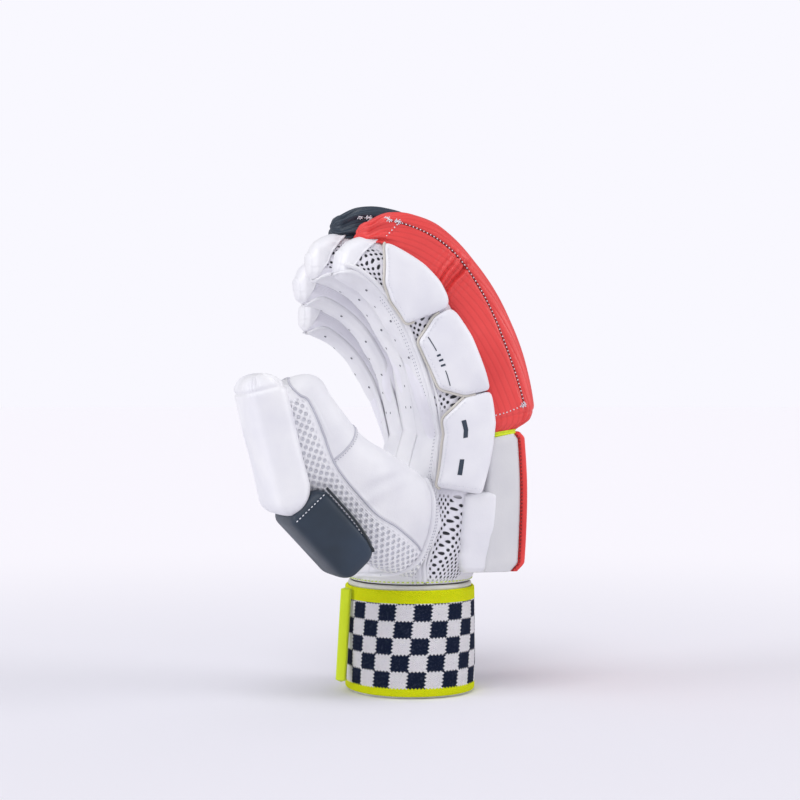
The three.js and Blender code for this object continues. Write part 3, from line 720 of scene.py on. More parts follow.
def woven_check(name):
    """Checks where the sum of row and column is odd or even, neon at both edges, and yarns as a bump."""
    material, tree, shader = new_finish(name, 0.9, Specular_IOR_Level=0.15)
    uv = add(tree, "SeparateXYZ", {0: add(tree, "TexCoord").outputs["UV"]})
    u, v = uv.outputs[0], uv.outputs[1]
    jag_u = maths(tree, "MULTIPLY", maths(tree, "PINGPONG", v, YARN), 1.3)
    jag_v = maths(tree, "MULTIPLY", maths(tree, "PINGPONG", u, YARN), 1.0)
    row = maths(tree, "FLOOR", maths(tree, "DIVIDE", maths(tree, "SUBTRACT", maths(tree, "ADD", v, jag_v),
                                                           SELVEDGE_LOW), CHECK_HEIGHT))
    lean = maths(tree, "MULTIPLY_ADD", v, CHECK_LEAN,
                 maths(tree, "ADD", u, maths(tree, "ADD", jag_u, CHECK_START)))
    column = maths(tree, "FLOOR", maths(tree, "DIVIDE", lean, CHECK_WIDTH))
    odd = maths(tree, "FLOORED_MODULO", maths(tree, "ADD", row, column), 2.0)
    checks = blend_colour(tree, odd, "fdfbff", "0e1c38")
    speck = add(tree, "TexNoise", {"Vector": add(tree, "TexCoord").outputs["Object"], "Scale": 900.0,
                                   "Detail": 2.0}).outputs[0]
    mottled = blend_colour(tree, scaled(tree, speck, 0.5, 0.9, 0.0, 0.2), checks, "8b93ab")
    above = maths(tree, "GREATER_THAN", v, SELVEDGE_HIGH)
    below = maths(tree, "LESS_THAN", maths(tree, "ADD", v, jag_v), SELVEDGE_LOW)
    edge = maths(tree, "MAXIMUM", above, below)
    neon = blend_colour(tree, scaled(tree, speck, 0.4, 0.7, 0.0, 0.5), "f8ff12", "e8fb06")
    tree.links.new(blend_colour(tree, edge, mottled, neon), shader.inputs["Base Color"])
    emboss(tree, shader, yarn_height(tree, u, v), 0.55)
    return material


def tape_weave(name, colour, shade):
    """One colour of yarn, with painted shade in the gaps between the floats."""
    material, tree, shader = new_finish(name, 0.75, Sheen_Weight=0.3)
    uv = add(tree, "SeparateXYZ", {0: add(tree, "TexCoord").outputs["UV"]})
    yarns = yarn_height(tree, uv.outputs[0], uv.outputs[1])
    base = worn(tree, shader, colour, shade, 0.75)
    # The gaps take the shade colour: painted shade between the floats
    tree.links.new(blend_colour(tree, maths(tree, "MULTIPLY", yarns, 0.3), shade, base),
                   shader.inputs["Base Color"])
    emboss(tree, shader, yarns, 0.25)
    return material


check_weave = woven_check("check_weave")
neon_tape = tape_weave("neon_tape", "f6ff14", "e0f600")

# %% Shadow of the red seams, ink and holes
# Dark red: painted shadow in the red rolls' seam grooves, and the real thread of the facings' stitches
seam_shadow_and_red_thread = leather("seam_shadow_and_red_thread", "8e2023", "6b1719", roughness=0.8, cell=0.5, depth=0.02)
print_ink, _, _ = new_finish("print_ink", 0.6, "2f3c4c")
# A grey for the punched holes: painted shade inside them
perforation_shade, _, _ = new_finish("perforation_shade", 0.8, "6d6e78")
print(len(bpy.data.materials), "finishes")

# %% [markdown]
# ## Cuff
#
# The cuff is an oval leather tube with a rolled rim at the floor and a taped hem at its top. Its profile
# is a closed loop, outside and inside, carried round an oval whose corners are a little squarer than an
# ellipse's. The wristband goes round it: a thick weave that bulges slightly between its selvedges.

# %% Cuff and wristband
CUFF = {"half_depth": 33.0, "half_width": 37.0, "height": 61.5, "wall": 1.6, "power": 2.1}
# Off the cuff's inner and outer side, and down from its top: where the tube ends, and the hem's edges
HEM = {"inside": 0.3, "outside": 0.9, "tube_top": 2.4, "low": 3.4, "high": 0.2}
BAND = {"gap": 0.3, "wall": 2.2, "low": 1.2, "high": 58.8}
GAP = 0.3


def oval_tube(offsets, heights, columns=240):
    """A profile of offsets outward and heights, carried round the cuff's oval."""
    turn = dense_turn(columns)
    cos, sin = corner_power(np.cos(turn), CUFF["power"]), corner_power(np.sin(turn), CUFF["power"])
    offsets, heights = np.asarray(offsets)[:, None], np.asarray(heights)[:, None]
    x = (CUFF["half_depth"] + offsets) * cos
    y = (CUFF["half_width"] + offsets) * sin
    return np.stack(np.broadcast_arrays(x, y, heights), axis=-1)


def rounded_loop(inside, outside, low, high, steps=7):
    """A closed profile: up the outside, over a half circle, down the inside and under another."""
    middle, radius = (inside + outside) / 2, (outside - inside) / 2
    turn = np.linspace(0, np.pi, steps)
    straight = np.linspace(low + radius, high - radius, 24)[1:-1]
    offsets = [np.full(len(straight), outside), middle + radius * np.cos(turn),
               np.full(len(straight), inside), middle - radius * np.cos(turn)]
    heights = [straight, high - radius + radius * np.sin(turn),
               straight[::-1], low + radius - radius * np.sin(turn)]
    return np.concatenate(offsets), np.concatenate(heights)


def oval_piece(name, inside, outside, low, high, material, swell=None, checks=None):
    """The loop carried round the oval as a closed ring: rows go round the profile and meet. checks is
    the length that the UV map gives to one turn, so that a pattern closes."""
    offsets, heights = rounded_loop(inside, outside, low, high)
    points = oval_tube(offsets, heights)
    if swell is not None:
        points = swell(points, offsets > inside + 0.5 * (outside - inside))
    points = np.concatenate([points, points[:1]])
    across = lengths(points, wrap=True)[0]
    if checks:
        across = across * checks / across[0, -1]
    return skin(name, points, material, wrap=True, uv=(across, points[:, :1, 2]))


cuff = oval_piece("cuff_tube", -CUFF["wall"], 0.0, 0.0, CUFF["height"] - HEM["tube_top"], white_leather)
weld(cuff)
finish_piece(cuff, "white_leather", "cuff_lining")
hem = oval_piece("cuff_hem", -CUFF["wall"] - HEM["inside"], HEM["outside"], CUFF["height"] - HEM["low"],
                 CUFF["height"] - HEM["high"], hem_leather)
weld(hem)
finish_piece(hem, "white_leather")


def band_swell(points, outer):
    """The band's outer side bulges by half a millimetre between its edges, and ripples slightly."""
    height = points[..., 2]
    middle = np.sin(np.pi * np.clip((height - BAND["low"]) / (BAND["high"] - BAND["low"]), 0, 1))
    round_it = np.arctan2(points[..., 1], points[..., 0])
    bulge = outer[:, None] * (0.5 * middle + 0.25 * np.sin(9 * round_it + height / 14) * middle)
    away = unit(points * [1, 1, 0])
    return points + away * bulge[..., None]


band = oval_piece("checked_band", BAND["gap"], BAND["gap"] + BAND["wall"], BAND["low"], BAND["high"],
                  check_weave, band_swell, CHECK_WIDTH * CHECKS_ROUND)
weld(band)
finish_piece(band, "check_weave", "wristband")

# %% [markdown]
# ## Tab of the wristband
#
# The band closes under the wrist with a short pull tab, folded from the neon tape. It stands a little off
# the band. A box with rounded sides is a section with squared corners, carried up the tab and closed by
# a small dome at each end.

# %% Tab
TAB = {"width": 6.0, "wall": 3.0, "height": 52.0, "lean": 3.5, "twist": 40.0, "turn": 188.0, "off": 5.2}


def tab_points():
    """A squared section, half width by half wall, up the tab. Its ends shrink along a quarter circle."""
    up = np.linspace(-1, 1, 60)
    end = np.sqrt(np.clip(1 - np.clip((np.abs(up) - 0.97) / 0.03, 0, 1) ** 2, 0.02, 1))
    turn = dense_turn(28)
    x = TAB["wall"] / 2 * corner_power(np.cos(turn), 3.5) * end[:, None]
    y = TAB["width"] / 2 * corner_power(np.sin(turn), 4.0) * end[:, None]
    z = np.broadcast_to(up[:, None] * TAB["height"] / 2, x.shape)
    spin, turn_round, lean = (np.radians(TAB[key]) for key in ("twist", "turn", "lean"))
    x, y = x * np.cos(spin) - y * np.sin(spin), x * np.sin(spin) + y * np.cos(spin)
    x = x + CUFF["half_depth"] + BAND["gap"] + BAND["wall"] + TAB["off"]
    x, y = (x * np.cos(turn_round) - y * np.sin(turn_round),
            x * np.sin(turn_round) + y * np.cos(turn_round))
    x, z = x * np.cos(lean) + z * np.sin(lean), -x * np.sin(lean) + z * np.cos(lean)
    return np.stack([x, y, z + (BAND["low"] + BAND["high"]) / 2], axis=-1)


tab = skin("neon_tab", tab_points(), neon_tape, wrap=True, closed=(True, True))
finish_piece(tab, "neon_trim", "wristband_tab")

# %% [markdown]
# ## Hand and fingers
#
# The glove's hand is one form: four fingers that leave a flat hand and curl towards the palm. Each finger
# gets a spine, a line with a lean at each distance from its knuckle. Before the knuckle the spine follows
# the hand's own sections down to the cuff. A quarter of the hand belongs to each finger, and between the
# knuckles and the webs that quarter turns smoothly into the finger's own closed section, which is what
# the leather of a real glove does.

# %% Sizes of the hand
PALM_LENGTH = 84.5
WEB_LENGTH = 27.0
HAND_FOOT = CUFF["height"] + GAP
KNUCKLE_FORWARD = 14.5
KNUCKLE_LEAN = 12.0
HAND_HALF_WIDTH = 49.5
FINGER_PITCH = 25.0
STALL_HALF_WIDTH = 12.0
STALL_HALF_DEPTH = 18.5
STALL_POWER = 3.2
WEB_POWER = 4.5

FINGERS = {
    "index": {"place": -1.5, "length": 122.0, "knuckle": 0.0, "bend": 76.0, "curl": 1.8, "roll": 0.975},
    "middle": {"place": -0.5, "length": 130.0, "knuckle": 3.0, "bend": 90.0, "curl": 1.8, "roll": 0.905},
    "ring": {"place": 0.5, "length": 124.0, "knuckle": 0.0, "bend": 94.0, "curl": 1.65, "roll": 0.89},
    "little": {"place": 1.5, "length": 108.0, "knuckle": -6.0, "bend": 86.0, "curl": 1.5, "roll": 0.9},
}

# Shares of a finger's length, then shares of the half depth and half width, how far the section drops
# towards the palm, and where the palm leather ends
STALL_ROWS = [
    (-0.3, 0.82, 0.8, 0, 0.6), (-0.08, 0.97, 0.97, 0, 0.74), (0.1, 1, 1, 0, 0.76),
    (0.42, 0.98, 1, 0, 0.74), (0.57, 0.93, 1, 0, 0.7), (0.71, 0.86, 0.98, 0, 0.66),
    (0.83, 0.79, 0.95, 0, 0.6), (0.92, 0.7, 0.9, 0.06, 0.5), (0.975, 0.54, 0.78, 0.18, 0.4),
    (1, 0.34, 0.55, 0.3, 0.3),
]

# Rise above the cuff, forward, depth, width, lean, powers of the palm's and the back's corners, seam
HAND_ROWS = [
    (0, 0, 0, 0, 0, 2.1, 2.1, 0.12), (0.09, 0, 0.02, 0.1, -5, 2.2, 3, 0.16),
    (0.25, 0.24, 0.24, 0.36, -8, 2.3, 4, 0.24), (0.48, 0.6, 0.52, 0.66, -7, 2.7, 4.5, 0.42),
    (0.74, 0.87, 0.8, 0.9, -2, 3.2, 4.8, 0.6), (1, 1, 1, 1, KNUCKLE_LEAN, 4, 5, 0.72),
]


# %% Spines
def make_spine(finger):
    """Past the knuckle the lean grows as a power of the distance, and the line is its running sum.
    Before the knuckle the line joins the middles of the hand's sections."""
    step = 0.5
    past = np.arange(0, finger["length"] + 30, step)
    share = np.clip(past / finger["length"], 0, 1)
    lean = np.radians(KNUCKLE_LEAN + (finger["bend"] - KNUCKLE_LEAN) * share ** finger["curl"])
    middle = (lean[1:] + lean[:-1]) / 2
    x = KNUCKLE_FORWARD - np.append(0, np.cumsum(np.sin(middle) * step))
    z = CUFF["height"] + PALM_LENGTH + finger["knuckle"] + np.append(0, np.cumsum(np.cos(middle) * step))
    before = np.arange(-PALM_LENGTH, 0, step)
    rise = 1 + before / PALM_LENGTH
    forward, _, _, hand_lean = columns_of(HAND_ROWS, rise)[:4]
    hand_z = HAND_FOOT + rise * (PALM_LENGTH - GAP) + finger["knuckle"] * ease(0.4, 1, rise)
    return {"s": np.append(before, past), "x": np.append(forward * KNUCKLE_FORWARD, x),
            "z": np.append(hand_z, z), "lean": np.append(np.radians(hand_lean), lean)}


for finger in FINGERS.values():
    finger["y"] = finger["place"] * FINGER_PITCH
    finger["side"] = np.sign(finger["place"])
    finger["outer"] = abs(finger["place"]) > 1
    finger["spine"] = make_spine(finger)


def spine_at(finger, s):
    """Place and lean of a finger's spine at distances s from the knuckle."""
    line = finger["spine"]
    return [np.interp(s, line["s"], line[key]) for key in ("x", "z", "lean")]


def hand_section(s, turn):
    """Out and side of the whole hand's section. turn is 0 in the middle of the palm, a quarter turn at
    the hand's edge and a half turn in the middle of the back."""
    rise = 1 + s / PALM_LENGTH
    _, depth, width, _, palm, back, _ = columns_of(HAND_ROWS, np.clip(rise, 0, 1))
    web = ease(0, WEB_LENGTH, s)
    half_depth = CUFF["half_depth"] + (STALL_HALF_DEPTH * (1 - 0.04 * web) - CUFF["half_depth"]) * depth
    half_width = CUFF["half_width"] + (HAND_HALF_WIDTH - CUFF["half_width"]) * width
    palm, back = palm + (WEB_POWER - palm) * web, back + (WEB_POWER - back) * web
    power = np.where(np.cos(turn) > 0, palm[:, None], back[:, None])
    out = -half_depth[:, None] * corner_power(np.cos(turn), power)
    return out, half_width[:, None] * corner_power(np.sin(turn), power)


def finger_section(finger, s, turn):
    """Out and side of a finger's own section, turn counted the same way, outer side first."""
    depth, width, drop, _ = columns_of(STALL_ROWS, s / finger["length"])
    out = -STALL_HALF_DEPTH * (depth[:, None] * corner_power(np.cos(turn), STALL_POWER) + drop[:, None])
    return out, STALL_HALF_WIDTH * width[:, None] * corner_power(np.sin(turn), STALL_POWER)


def seam_turns(finger, s):
    """Turns of the palm leather's outer edge, on the finger's section and on the hand's."""
    seam = columns_of(STALL_ROWS, s / finger["length"])[3]
    _, _, _, _, palm, _, hand_seam = columns_of(HAND_ROWS, np.clip(1 + s / PALM_LENGTH, 0, 1))
    return np.arccos(seam ** (STALL_POWER / 2)), np.arccos(hand_seam ** (palm / 2))


def border_turn(s, on_back):
    """Turn of the border between an outer finger's quarter and its neighbour's: half the width out."""
    _, _, _, _, palm, back, _ = columns_of(HAND_ROWS, np.clip(1 + s / PALM_LENGTH, 0, 1))
    share = FINGER_PITCH / HAND_HALF_WIDTH
    turn = np.arcsin(share ** ((back if on_back else palm) / 2))
    return np.pi - turn if on_back else turn


def surface(finger, s, across, part, web=(-12.0, WEB_LENGTH)):
    """A strip of the hand and finger. across runs from 0 at the outer seam to 1 at the inner one, over
    the palm or round the back. Hand and finger are mixed by a smooth step between two distances, from
    just below the knuckle to the web unless others are given, which may differ for each column."""
    s = np.asarray(s, float)
    own_seam, hand_seam = seam_turns(finger, s)
    on_back = part == "back"
    border = border_turn(s, on_back)
    if finger["outer"]:
        hand_from, hand_to = hand_seam, border
    else:
        hand_from, hand_to = border, np.full_like(s, np.pi if on_back else 0.0)
    own_from = own_seam
    own_to = 2 * np.pi - own_seam if on_back else -own_seam
    across = np.broadcast_to(across, (len(s), np.shape(across)[-1]))
    hand_turn = hand_from[:, None] + (hand_to - hand_from)[:, None] * across
    own_turn = own_from[:, None] + (own_to - own_from)[:, None] * across
    hand_out, hand_side = hand_section(s, hand_turn)
    own_out, own_side = finger_section(finger, s, own_turn)
    mix = ease(*web, s[:, None])
    out = hand_out * (1 - mix) + own_out * mix
    side = hand_side * finger["side"] * (1 - mix) + (finger["y"] + own_side * finger["side"]) * mix
    x, z, lean = spine_at(finger, s)
    return sections(x, np.zeros_like(x), z, lean, out, side)


def rounded_end(points, steps=7, height=1.8):
    """Rows past the last one that shrink to its middle along a quarter circle, height further on."""
    turn = np.linspace(0, np.pi / 2, steps + 1)[1:-1]
    middle = points[-1].mean(axis=0)
    onward = unit(np.cross(points[-1, 1] - points[-1, 0], points[-1, 0] - middle))
    onward = onward * np.sign(np.sum(onward * (middle - points[-4].mean(axis=0))))
    caps = middle + np.cos(turn)[:, None, None] * (points[-1] - middle)
    return np.concatenate([points, caps + np.sin(turn)[:, None, None] * onward * height])


def rounded_ends(points, foot, head):
    """Both ends rounded, each by its own height."""
    return rounded_end(rounded_end(points, height=head)[::-1], height=foot)[::-1]


# %% [markdown]
# ## Stalls
#
# Under the leather each finger is a tube of knitted mesh, and the tubes go on as the mesh of the hand. One
# grid holds a finger's palm side and its back. Past the web it is a closed ring. Below the web it is open
# along the seams that it shares with its neighbours. A thin wall inwards keeps the glove hollow.


# %% Stalls of mesh
# From and to along the finger as shares of its length, and from and to across its back part
OPEN_TIP = (0.70, 0.96, 0.0, 0.20)
OPEN_NOTCHES = [(0.44, 0.56, 0.0, 0.16), (0.09, 0.20, 0.0, 0.19)]
# The same for the strip above the cuff, but along in millimetres from the knuckle
OPEN_STRIP = (-84.0, -34.0, 0.05, 0.42)


def open_knit(finger, s, across):
    """Where the side mesh is open: near the tip, along the strip above the cuff, and on the index
    finger in the two notches between the bars."""
    place = s[:, None]
    shares = [OPEN_TIP] + (OPEN_NOTCHES if finger["place"] < -1 else [])
    places = [(low * finger["length"], high * finger["length"], start, end)
              for low, high, start, end in shares] + [OPEN_STRIP]
    opened = np.zeros((len(s), len(across)))
    for low, high, start, end in places:
        along = ease(low, low + 4, place) * (1 - ease(high - 4, high, place))
        sideways = ease(start, start + 0.015, across) * (1 - ease(end - 0.02, end, across))
        opened = np.maximum(opened, along * sideways)
    return opened


STALL_STEP = {"index": 1.1, "middle": 1.35, "ring": 1.6, "little": 1.35}
STALL_WALL = 1.3
PALM_COLUMNS = 26
BACK_COLUMNS = {"index": 84, "middle": 70, "ring": 60, "little": 70}
# Millimetres that the knit's pattern counts across the palm part and round the back part
PALM_KNIT = 30.0
BACK_KNIT = 84.0
DENT = 0.55
KEPT_FROM = 6.0


def kept_cells(below, columns, chosen):
    """A table of cells to keep: all, except the chosen columns in the rows below the web."""
    keep = np.ones((len(below), columns), bool)
    for column in chosen:
        keep[below, column] = False
    return keep


def stall_piece(name, finger, step, back_columns):
    """Palm side and back as one grid, dented where the knit is open, with a round tip."""
    s = np.append(np.arange(-PALM_LENGTH + 0.2, finger["length"], step), finger["length"])
    palm_across = np.linspace(1, 0, PALM_COLUMNS)
    back_across = np.linspace(0, 1, back_columns)
    palm = surface(finger, s, palm_across, "palm")
    back = surface(finger, s, back_across, "back")
    opened = np.concatenate([np.zeros((len(s), PALM_COLUMNS)), open_knit(finger, s, back_across)], axis=1)
    dented = raised(back, -DENT * hole_depth(SIDE_KNIT, back_across * BACK_KNIT, s[:, None])
                    * opened[:, PALM_COLUMNS:])
    points = rounded_end(np.concatenate([palm, dented], axis=1))
    more = len(points) - len(s)
    s = np.append(s, s[-1] + 0.6 * np.arange(1, more + 1))
    opened = np.concatenate([opened, np.zeros((more, opened.shape[1]))])
    u = np.concatenate([-palm_across * PALM_KNIT, back_across * BACK_KNIT, [BACK_KNIT]])[None, :]
    inner_seams = [-1] if finger["outer"] else [-1, PALM_COLUMNS - 1]
    keep = kept_cells(s[:-1] < KEPT_FROM, points.shape[1], inner_seams)
    piece = skin(name, points, side_mesh, wrap=True, closed=(False, True), keep=keep,
                 uv=(u, s[:, None]), marks={"open": opened})
    weld(piece)
    wall(piece, STALL_WALL)
    return piece


for name, finger in FINGERS.items():
    stall = stall_piece("stall_" + name, finger, STALL_STEP[name], BACK_COLUMNS[name])
    nodes = ["finger_stall_" + name] + (["backhand_shell"] if name == "index" else [])
    finish_piece(stall, "white_mesh", *nodes)

# %% [markdown]
# ## Palm leather
#
# The palm is one hide of soft goatskin with four tongues that run up the fingers' palm sides. It lies on
# the mesh and its edges are turned under, which leaves a raised rim. Between the tongues, slots run down
# into the palm and fade out. The tongue's own width narrows from the hand's quarter to the finger's flat
# side along a smooth step, and its end is a half ellipse.

# %% Tongues of the palm
PALM_LIFT = 0.55
PALM_WALL = 1.0
TONGUES = {
    "index": {"slot": 52.0, "web": (34.0, 62.0), "end": 1.02},
    "middle": {"slot": 46.0, "web": (31.0, 59.0), "end": 0.98},
    "ring": {"slot": 36.0, "web": (24.0, 50.0), "end": 0.97},
    "little": {"slot": 32.0, "web": (21.0, 46.0), "end": 0.97},
}
TONGUE_COLUMNS = 34
TONGUE_ROUND = 13.0
RIM = {"inset": 1.4, "width": 1.1, "height": 0.75}
END_RIM = {"inset": 1.6, "width": 1.3, "height": 0.6}
SLOT = {"width": 2.2, "depth": 1.3}


def palm_strip(name, finger):
    """The finger's palm surface, lifted, with its sides drawn in past the slot's foot and round the
    end. Rims, slots and slack are heights over it."""
    tongue = TONGUES[name]
    end = tongue["end"] * finger["length"]
    rows = int(end + PALM_LENGTH)
    s = np.linspace(-PALM_LENGTH + 0.4, end, rows)
    tip = np.sqrt(np.clip(1 - np.clip((s - end + TONGUE_ROUND) / TONGUE_ROUND, 0, 1) ** 2, 0.0009, 1))
    drawn = ease(tongue["slot"] - 26, tongue["slot"] + 12, s)
    inner = tip * (1 - 0.05 * drawn)
    outer = tip if finger["outer"] else inner
    across = np.linspace(0, 1, TONGUE_COLUMNS)[None, :]
    share = np.where(across < 0.5, 0.5 - (0.5 - across) * outer[:, None],
                     0.5 + (across - 0.5) * inner[:, None])
    inward = np.sqrt(across) if finger["outer"] else 1.0
    web = (-12 + (tongue["web"][0] + 12) * inward, WEB_LENGTH + (tongue["web"][1] - WEB_LENGTH) * inward)
    points = surface(finger, s, share, "palm", web)
    side = points[:, 0] - points[:, -1]
    width = np.linalg.norm(side, axis=-1)[:, None]
    from_inner = (1 - across) * width
    from_outer = across * width
    free = ease(tongue["slot"] - 22, tongue["slot"] + 4, s)[:, None]
    rim = bump_at(from_inner - RIM["inset"], RIM["width"]) * free
    rim = rim + bump_at(from_outer - RIM["inset"], RIM["width"]) * (1.0 if finger["outer"] else free)
    end_rim = bump_at((end - s)[:, None] - END_RIM["inset"], END_RIM["width"])
    fading = ease(tongue["slot"] - 26, tongue["slot"] - 4, s)[:, None] * (1 - 0.4 * free)
    slot = bump_at(from_inner, SLOT["width"]) * fading
    if not finger["outer"]:
        slot = slot + bump_at(from_outer, SLOT["width"]) * fading
    middle = np.sin(np.pi * across)
    slack = 0.3 * np.sin(s / 7.5 + finger["place"])[:, None] * middle
    slack = slack + 0.14 * np.sin(s / 3.1 + 2 * finger["place"])[:, None] * middle ** 2
    crowned = 0.35 * middle * free
    low_edge = -0.5 * ease(-PALM_LENGTH + 6, -PALM_LENGTH, s)[:, None]
    height = (PALM_LIFT + RIM["height"] * rim + END_RIM["height"] * end_rim - SLOT["depth"] * slot
              + slack + crowned + low_edge)
    return s, raised(points, height)


palm_strips = {name: palm_strip(name, finger) for name, finger in FINGERS.items()}
for name, (s, points) in palm_strips.items():
    piece = skin("palm_" + name, points, white_leather)
    wall(piece, PALM_WALL)
    nodes = ["palm_leather"] if name == "index" else []
    finish_piece(piece, "white_leather", *nodes)

# %% [markdown]
# ## Welts along the palm's edge
#
# Where the palm hide meets the side mesh, a folded welt runs from the cuff to the fingertip, and a
# thinner one lies beside it up to the middle of the finger. They are round profiles carried along lines
# on the mesh. The little finger's side has the same pair.


# %% Welts
def edge_path(finger, s, across, lift):
    """A line on the back part at a share across it, lifted off the surface, with its normals."""
    strip = surface(finger, s, across + np.array([[-0.01, 0.0, 0.01]]), "back")
    normal = normals(strip)[:, 1]
    x, z, _ = spine_at(finger, s)
    middle = np.stack([x, np.full(len(s), finger["y"]), z], axis=1)
    normal = normal * np.sign(np.sum(normal * (strip[:, 1] - middle), axis=-1))[:, None]
    return strip[:, 1] + normal * lift, normal


def pipe(name, path, radius, material, slot, facing=(0, 1, 0), sides=10):
    """A round profile along a path as a finished piece."""
    piece = skin(name, piping_grid(path, radius, facing, sides), material, wrap=True, closed=(True, True))
    finish_piece(piece, slot)


# Each welt's end as a share of the finger, its place across the back part, its lift and its radius
WELT_START = -PALM_LENGTH + 0.6
FRONT_WELT = {"end": 0.985, "across": 0.012, "lift": 0.5, "radius": 1.25}
BACK_WELT = {"end": 0.42, "across": 0.050, "lift": 0.2, "radius": 0.8}
for name in ("index", "little"):
    finger = FINGERS[name]
    s = np.linspace(WELT_START, FRONT_WELT["end"] * finger["length"], 150)
    first, first_facing = edge_path(finger, s, np.full((len(s), 1), FRONT_WELT["across"]), FRONT_WELT["lift"])
    wobble = 0.125 * np.sin(s / 9) + 0.06 * np.sin(s / 3.7)
    pipe("welt_front_" + name, first + first_facing * wobble[:, None], FRONT_WELT["radius"], white_leather,
         "white_leather", first_facing, 12)
    low = np.linspace(WELT_START, BACK_WELT["end"] * finger["length"], 110)
    inset = BACK_WELT["across"] + 0.006 * np.sin(low / 13)
    second, second_facing = edge_path(finger, low, inset[:, None], BACK_WELT["lift"])
    pipe("welt_back_" + name, second, BACK_WELT["radius"], white_leather, "white_leather", second_facing)

# %% [markdown]
# ## Thumb
#
# The thumb is a bent stall of its own: leather on the side that faces the fingers, mesh on its outer
# side, and a grey piped seam between them. Its sections lean, and shrink to a round tip. Leather and mesh
# are two ranges of the same turn, so they meet along one line.

# %% Thumb form
THUMB = {"reach": 80.0, "rise": 99.5, "side": 60.0, "half_depth": 27.0, "half_width": 19.0, "tip": 13.5,
         "power": 2.4}
# Share along, reach, rise, side, depth, width, lean
THUMB_ROWS = [
    (0, 0.02, 0.23, 0.48, 0.82, 0.85, 62), (0.3, 0.3, 0.375, 0.7, 1.03, 1, 55),
    (0.54, 0.56, 0.53, 0.85, 0.96, 0.98, 46), (0.745, 0.78, 0.69, 0.95, 0.79, 0.92, 37),
    (0.9, 0.92, 0.87, 0.99, 0.67, 0.85, 27), (1, 1, 1, 1, 0.58, 0.76, 21),
]
TIP_POWER = 2.5


def thumb_surface(along, turn):
    """Sections round the thumb's spine. turn is 0 on the leather side, towards the fingers, and grows
    towards the camera's side. Past 1 the sections shrink as a quarter of a squared circle."""
    reach, rise, side, depth, width, lean = columns_of(THUMB_ROWS, np.clip(along, 0, 1))
    lean = np.radians(lean)
    past = np.clip(along - 1, 0, 1)
    size = np.clip(1 - past ** TIP_POWER, 0, 1) ** (1 / TIP_POWER)
    x = -reach * THUMB["reach"] - np.sin(lean) * past * THUMB["tip"]
    z = CUFF["height"] + rise * THUMB["rise"] + np.cos(lean) * past * THUMB["tip"]
    y = -side * THUMB["side"]
    out = (THUMB["half_depth"] * depth * size)[:, None] * corner_power(np.cos(turn), THUMB["power"])
    across = -(THUMB["half_width"] * width * size)[:, None] * corner_power(np.sin(turn), THUMB["power"])
    return sections(x, y, z, lean, out, across)


# Along the thumb, and the turn of its seam on the camera's side
THUMB_SEAM = [(0, 1.9), (0.12, 1.72), (0.3, 1.68), (0.44, 1.73), (0.59, 1.69), (0.74, 1.64), (0.86, 1.56),
              (0.98, 1.5), (1.4, 1.66), (2, 1.9)]


def thumb_seam(along):
    """The turn where leather meets mesh, on the camera's side."""
    return columns_of(THUMB_SEAM, along)[0]


def thumb_range(along, share, part):
    """Leather from seam to seam over the finger side, or mesh from seam to seam over the outer side."""
    seam = thumb_seam(along)[:, None]
    if part == "leather":
        return thumb_surface(along, seam * (2 * share - 1))
    return thumb_surface(along, seam + 2 * (np.pi - seam) * share)


# %% Thumb leather and mesh
# Shares along the thumb: the middle of the joint's creases, of the ball's and of the tip's gathers
JOINT = 0.52
BALL = 0.16
TIP_GATHER = 0.93
# Past the tip, where reliefs fade out
HOOD_FADE = (1.25, 1.7)
THUMB_WALL = 1.2
thumb_along = np.append(np.linspace(0, 1, 130), 1 + np.sin(np.linspace(0, np.pi / 2, 26)[1:]))
leather_share = np.linspace(0, 1, 96)
mesh_share = np.linspace(0, 1, 90)


def thumb_slack(along, share):
    """Creases at the joint and under the ball, and small gathers by the seams near the tip."""
    along, share = along[:, None], share[None, :]
    near = np.abs(2 * share - 1)
    hood = 1 - ease(*HOOD_FADE, along)
    joint = 0.5 * np.sin((along - 0.5 * share) * 60) * bump_at(along - JOINT, 0.07) * near
    ball = 0.5 * np.sin((along + 0.6 * share) * 38) * bump_at(along - BALL, 0.1) * near
    gathers = 0.4 * np.sin(share * 150) * bump_at(along - TIP_GATHER, 0.09) * ease(0.86, 1, near)
    return (joint + ball + gathers) * hood


leather_points = thumb_range(thumb_along, leather_share, "leather")
rolled_edge = 0.35 * ease(0.97, 0.995, np.abs(2 * leather_share - 1))[None, :]
rolled_edge = rolled_edge * (1 - ease(*HOOD_FADE, thumb_along))[:, None]
leather_points = raised(leather_points, thumb_slack(thumb_along, leather_share) + rolled_edge)
thumb_skin = skin("thumb_inner_leather", leather_points, white_leather)
weld(thumb_skin)
wall(thumb_skin, THUMB_WALL)
finish_piece(thumb_skin, "white_leather", "thumb_leather")

mesh_points = thumb_range(thumb_along, mesh_share, "mesh")
mesh_uv = lengths(mesh_points)
mesh_open = ease(0.02, 0.06, mesh_share)[None, :] * (1 - ease(0.94, 0.98, mesh_share))[None, :]
mesh_open = mesh_open * (1 - ease(1.1, 1.3, thumb_along))[:, None]
mesh_points = raised(mesh_points, -0.7 * hole_depth(THUMB_KNIT, *mesh_uv) * mesh_open)
thumb_knit = skin("thumb_outer_mesh", mesh_points, thumb_cloth, uv=mesh_uv, marks={"open": mesh_open})
weld(thumb_knit)
wall(thumb_knit, THUMB_WALL)
finish_piece(thumb_knit, "white_mesh", "thumb_mesh")

# %% Piped seams of the thumb
THUMB_PIPING = {"lift": 0.25, "radius": 0.62}
piped = slice(8, -1)
thumb_middle = leather_points[piped].mean(axis=1)
for name, share in (("near", 1.0), ("far", 0.0)):
    seam_path = thumb_range(thumb_along[piped], np.array([share]), "leather")[:, 0]
    facing = unit(seam_path - thumb_middle)
    pipe("thumb_piping_" + name, seam_path + THUMB_PIPING["lift"] * facing, THUMB_PIPING["radius"],
         grey_piping, "white_leather", facing)

